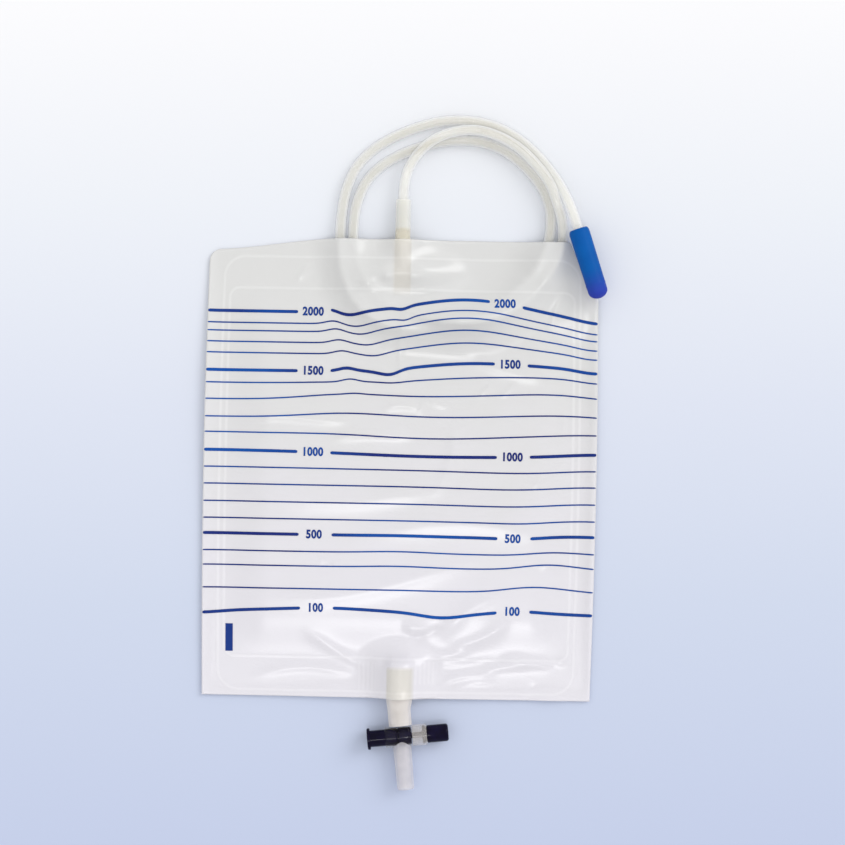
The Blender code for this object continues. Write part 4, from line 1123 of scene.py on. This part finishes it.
land = BARREL_BORE / 2.0 - RUNNING_GAP
shank = SHANK_OD / 2.0
flange = FLANGE_OD / 2.0
waist = WAIST_OD / 2.0
groove = land - GROOVE_DEPTH
x = -BARREL_LEFT - SEAT_GAP - PUSH_TRAVEL - FLANGE_THICKNESS
outline = [(0.0, x), (flange - EDGE_ROUND, x), (flange, x + EDGE_ROUND)]
x += FLANGE_THICKNESS
outline += [(flange, x - EDGE_ROUND), (flange - EDGE_ROUND, x), (shank, x)]
x += PUSH_TRAVEL
outline += [(shank, x), (land, x + EDGE_ROUND)]
middle = x + LAND_LENGTH / 2.0
outline += [(land, middle - GROOVE_LENGTH), (groove, middle - GROOVE_LENGTH / 2.0),
            (groove, middle), (land, middle + GROOVE_LENGTH / 2.0)]
x += LAND_LENGTH
outline += [(land, x - EDGE_ROUND), (land - EDGE_ROUND, x), (waist, x)]
x += WAIST_LENGTH
outline += [(waist, x), (land - EDGE_ROUND, x), (land, x + EDGE_ROUND)]
x += SEAL_LENGTH
outline += [(land, x), (groove, x), (groove, x + GROOVE_LENGTH), (land, x + GROOVE_LENGTH)]
x += GROOVE_LENGTH + KNOB_LENGTH
outline += [(land, x - 3.0 * EDGE_ROUND), (land - EDGE_ROUND, x - EDGE_ROUND),
            (land - 3.0 * EDGE_ROUND, x), (0.0, x)]
plunger = turned("navy_valve_plunger", list(reversed(outline)), MOULDED_FACETS)
plunger.data.transform(valve_frame @ LAY_ALONG_X)
navy, tree, shader = new_material("moulded_navy_plastic")
clouded(tree, shader, "08041A", "0D0827", 6.0 * MM)
set_up(tree, shader, {"Roughness": 0.12, "Specular IOR Level": 0.09})
finish_piece(plunger, navy, "plunger", "valve_plunger")

# Connector cap: satin blue moulded cap, open at the tube's end, pushed over the stepped catheter
# connector. It is a little narrower at its closed end, which has one fine ring round it.
CAP_ANGLE = math.radians(17.5)
CAP_LENGTH = 43.2 * MM
CAP_OD_MOUTH = 12.4 * MM
CAP_OD_END = 11.7 * MM
CAP_WALL = 1.0 * MM
CAP_RIM_IN = 1.35 * MM
CAP_RIM_DOWN = 3.2 * MM
CAP_RING_AT = 34.5 * MM
CAP_RING_HIGH = 0.12 * MM
CAP_RING_MM = ((0.8, 0.0), (0.4, 1.0), (-0.4, 1.0), (-0.8, 0.0))
CAP_LIP = (0.1 * MM, 0.2 * MM)
CAP_DOME = 0.8
DOME_STEPS = 12
RIM_STEPS = 8
INSIDE_STEPS = 6
VIOLET_FROM = 0.55
TUBE_PAST_MOUTH = 6.0 * MM

heading = Vector((math.sin(CAP_ANGLE), -math.cos(CAP_ANGLE), 0.0))
cap_mouth = route[-1] - heading * TUBE_PAST_MOUTH
mouth = CAP_OD_MOUTH / 2.0
end = CAP_OD_END / 2.0
dome = end * CAP_DOME


def quarter_turn(steps):
    """Even angles from none to a quarter turn, for a rounded end."""
    return [math.pi / 2.0 * step / steps for step in range(steps + 1)]


outline = [(end * math.sin(angle), CAP_LENGTH - dome * (1.0 - math.cos(angle)))
           for angle in quarter_turn(DOME_STEPS)]
slope = (mouth - end) / (CAP_LENGTH - dome)
for offset, raised in CAP_RING_MM:
    along_cap = CAP_RING_AT + offset * MM
    outline.append((end + slope * (CAP_LENGTH - dome - along_cap) + raised * CAP_RING_HIGH,
                    along_cap))
outline += [(mouth - CAP_RIM_IN * (1.0 - math.cos(angle)),
             CAP_RIM_DOWN * (1.0 - math.sin(angle))) for angle in quarter_turn(RIM_STEPS)]
outline += [(mouth - CAP_RIM_IN - CAP_LIP[0], CAP_LIP[1]), (mouth - CAP_WALL, CAP_RIM_DOWN)]
outline += [((end - CAP_WALL) * math.sin(angle),
             CAP_LENGTH - CAP_WALL - dome * (1.0 - math.cos(angle)))
            for angle in reversed(quarter_turn(INSIDE_STEPS))]
cap = turned("blue_connector_cap", outline, MOULDED_FACETS)
cap.data.transform(Matrix.Translation(cap_mouth)
                   @ Matrix.Rotation(CAP_ANGLE - math.pi, 4, "Z") @ LAY_ALONG_Y)
cap_blue, tree, shader = new_material("moulded_blue_polyethylene")
tone = clouded(tree, shader, "004F9C", "0058A6", 16.0 * MM)
place = add_node(tree, "TexCoord")
from_mouth = add_node(tree, "VectorMath", {"operation": "SUBTRACT"},
                      {1: tuple(cap_mouth)}, {0: place.outputs["Object"]})
along_axis = add_node(tree, "VectorMath", {"operation": "DOT_PRODUCT"},
                      {1: tuple(heading)}, {0: from_mouth})
to_end = add_node(tree, "MapRange", SOFT_STEP, span(CAP_LENGTH * VIOLET_FROM, CAP_LENGTH),
                  {"Value": along_axis.outputs["Value"]})
violet = add_node(tree, "Mix", COLOUR_MIX, {7: linear("2C3CA4")}, {0: to_end, 6: tone.outputs[2]})
set_up(tree, shader, {"Roughness": 0.50, "Specular IOR Level": 0.10},
       {"Base Color": violet.outputs[2]})
finish_piece(cap, cap_blue, "cap", "connector_cap")

# Catheter connector: one stepped nose moulded of clear styrene, bonded on the tube's far end.
# Its cap hides it until the cap is pulled off.
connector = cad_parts["catheter_connector"]
connector.data.materials.clear()
connector.data.materials.append(hazy_and_lit_styrene)
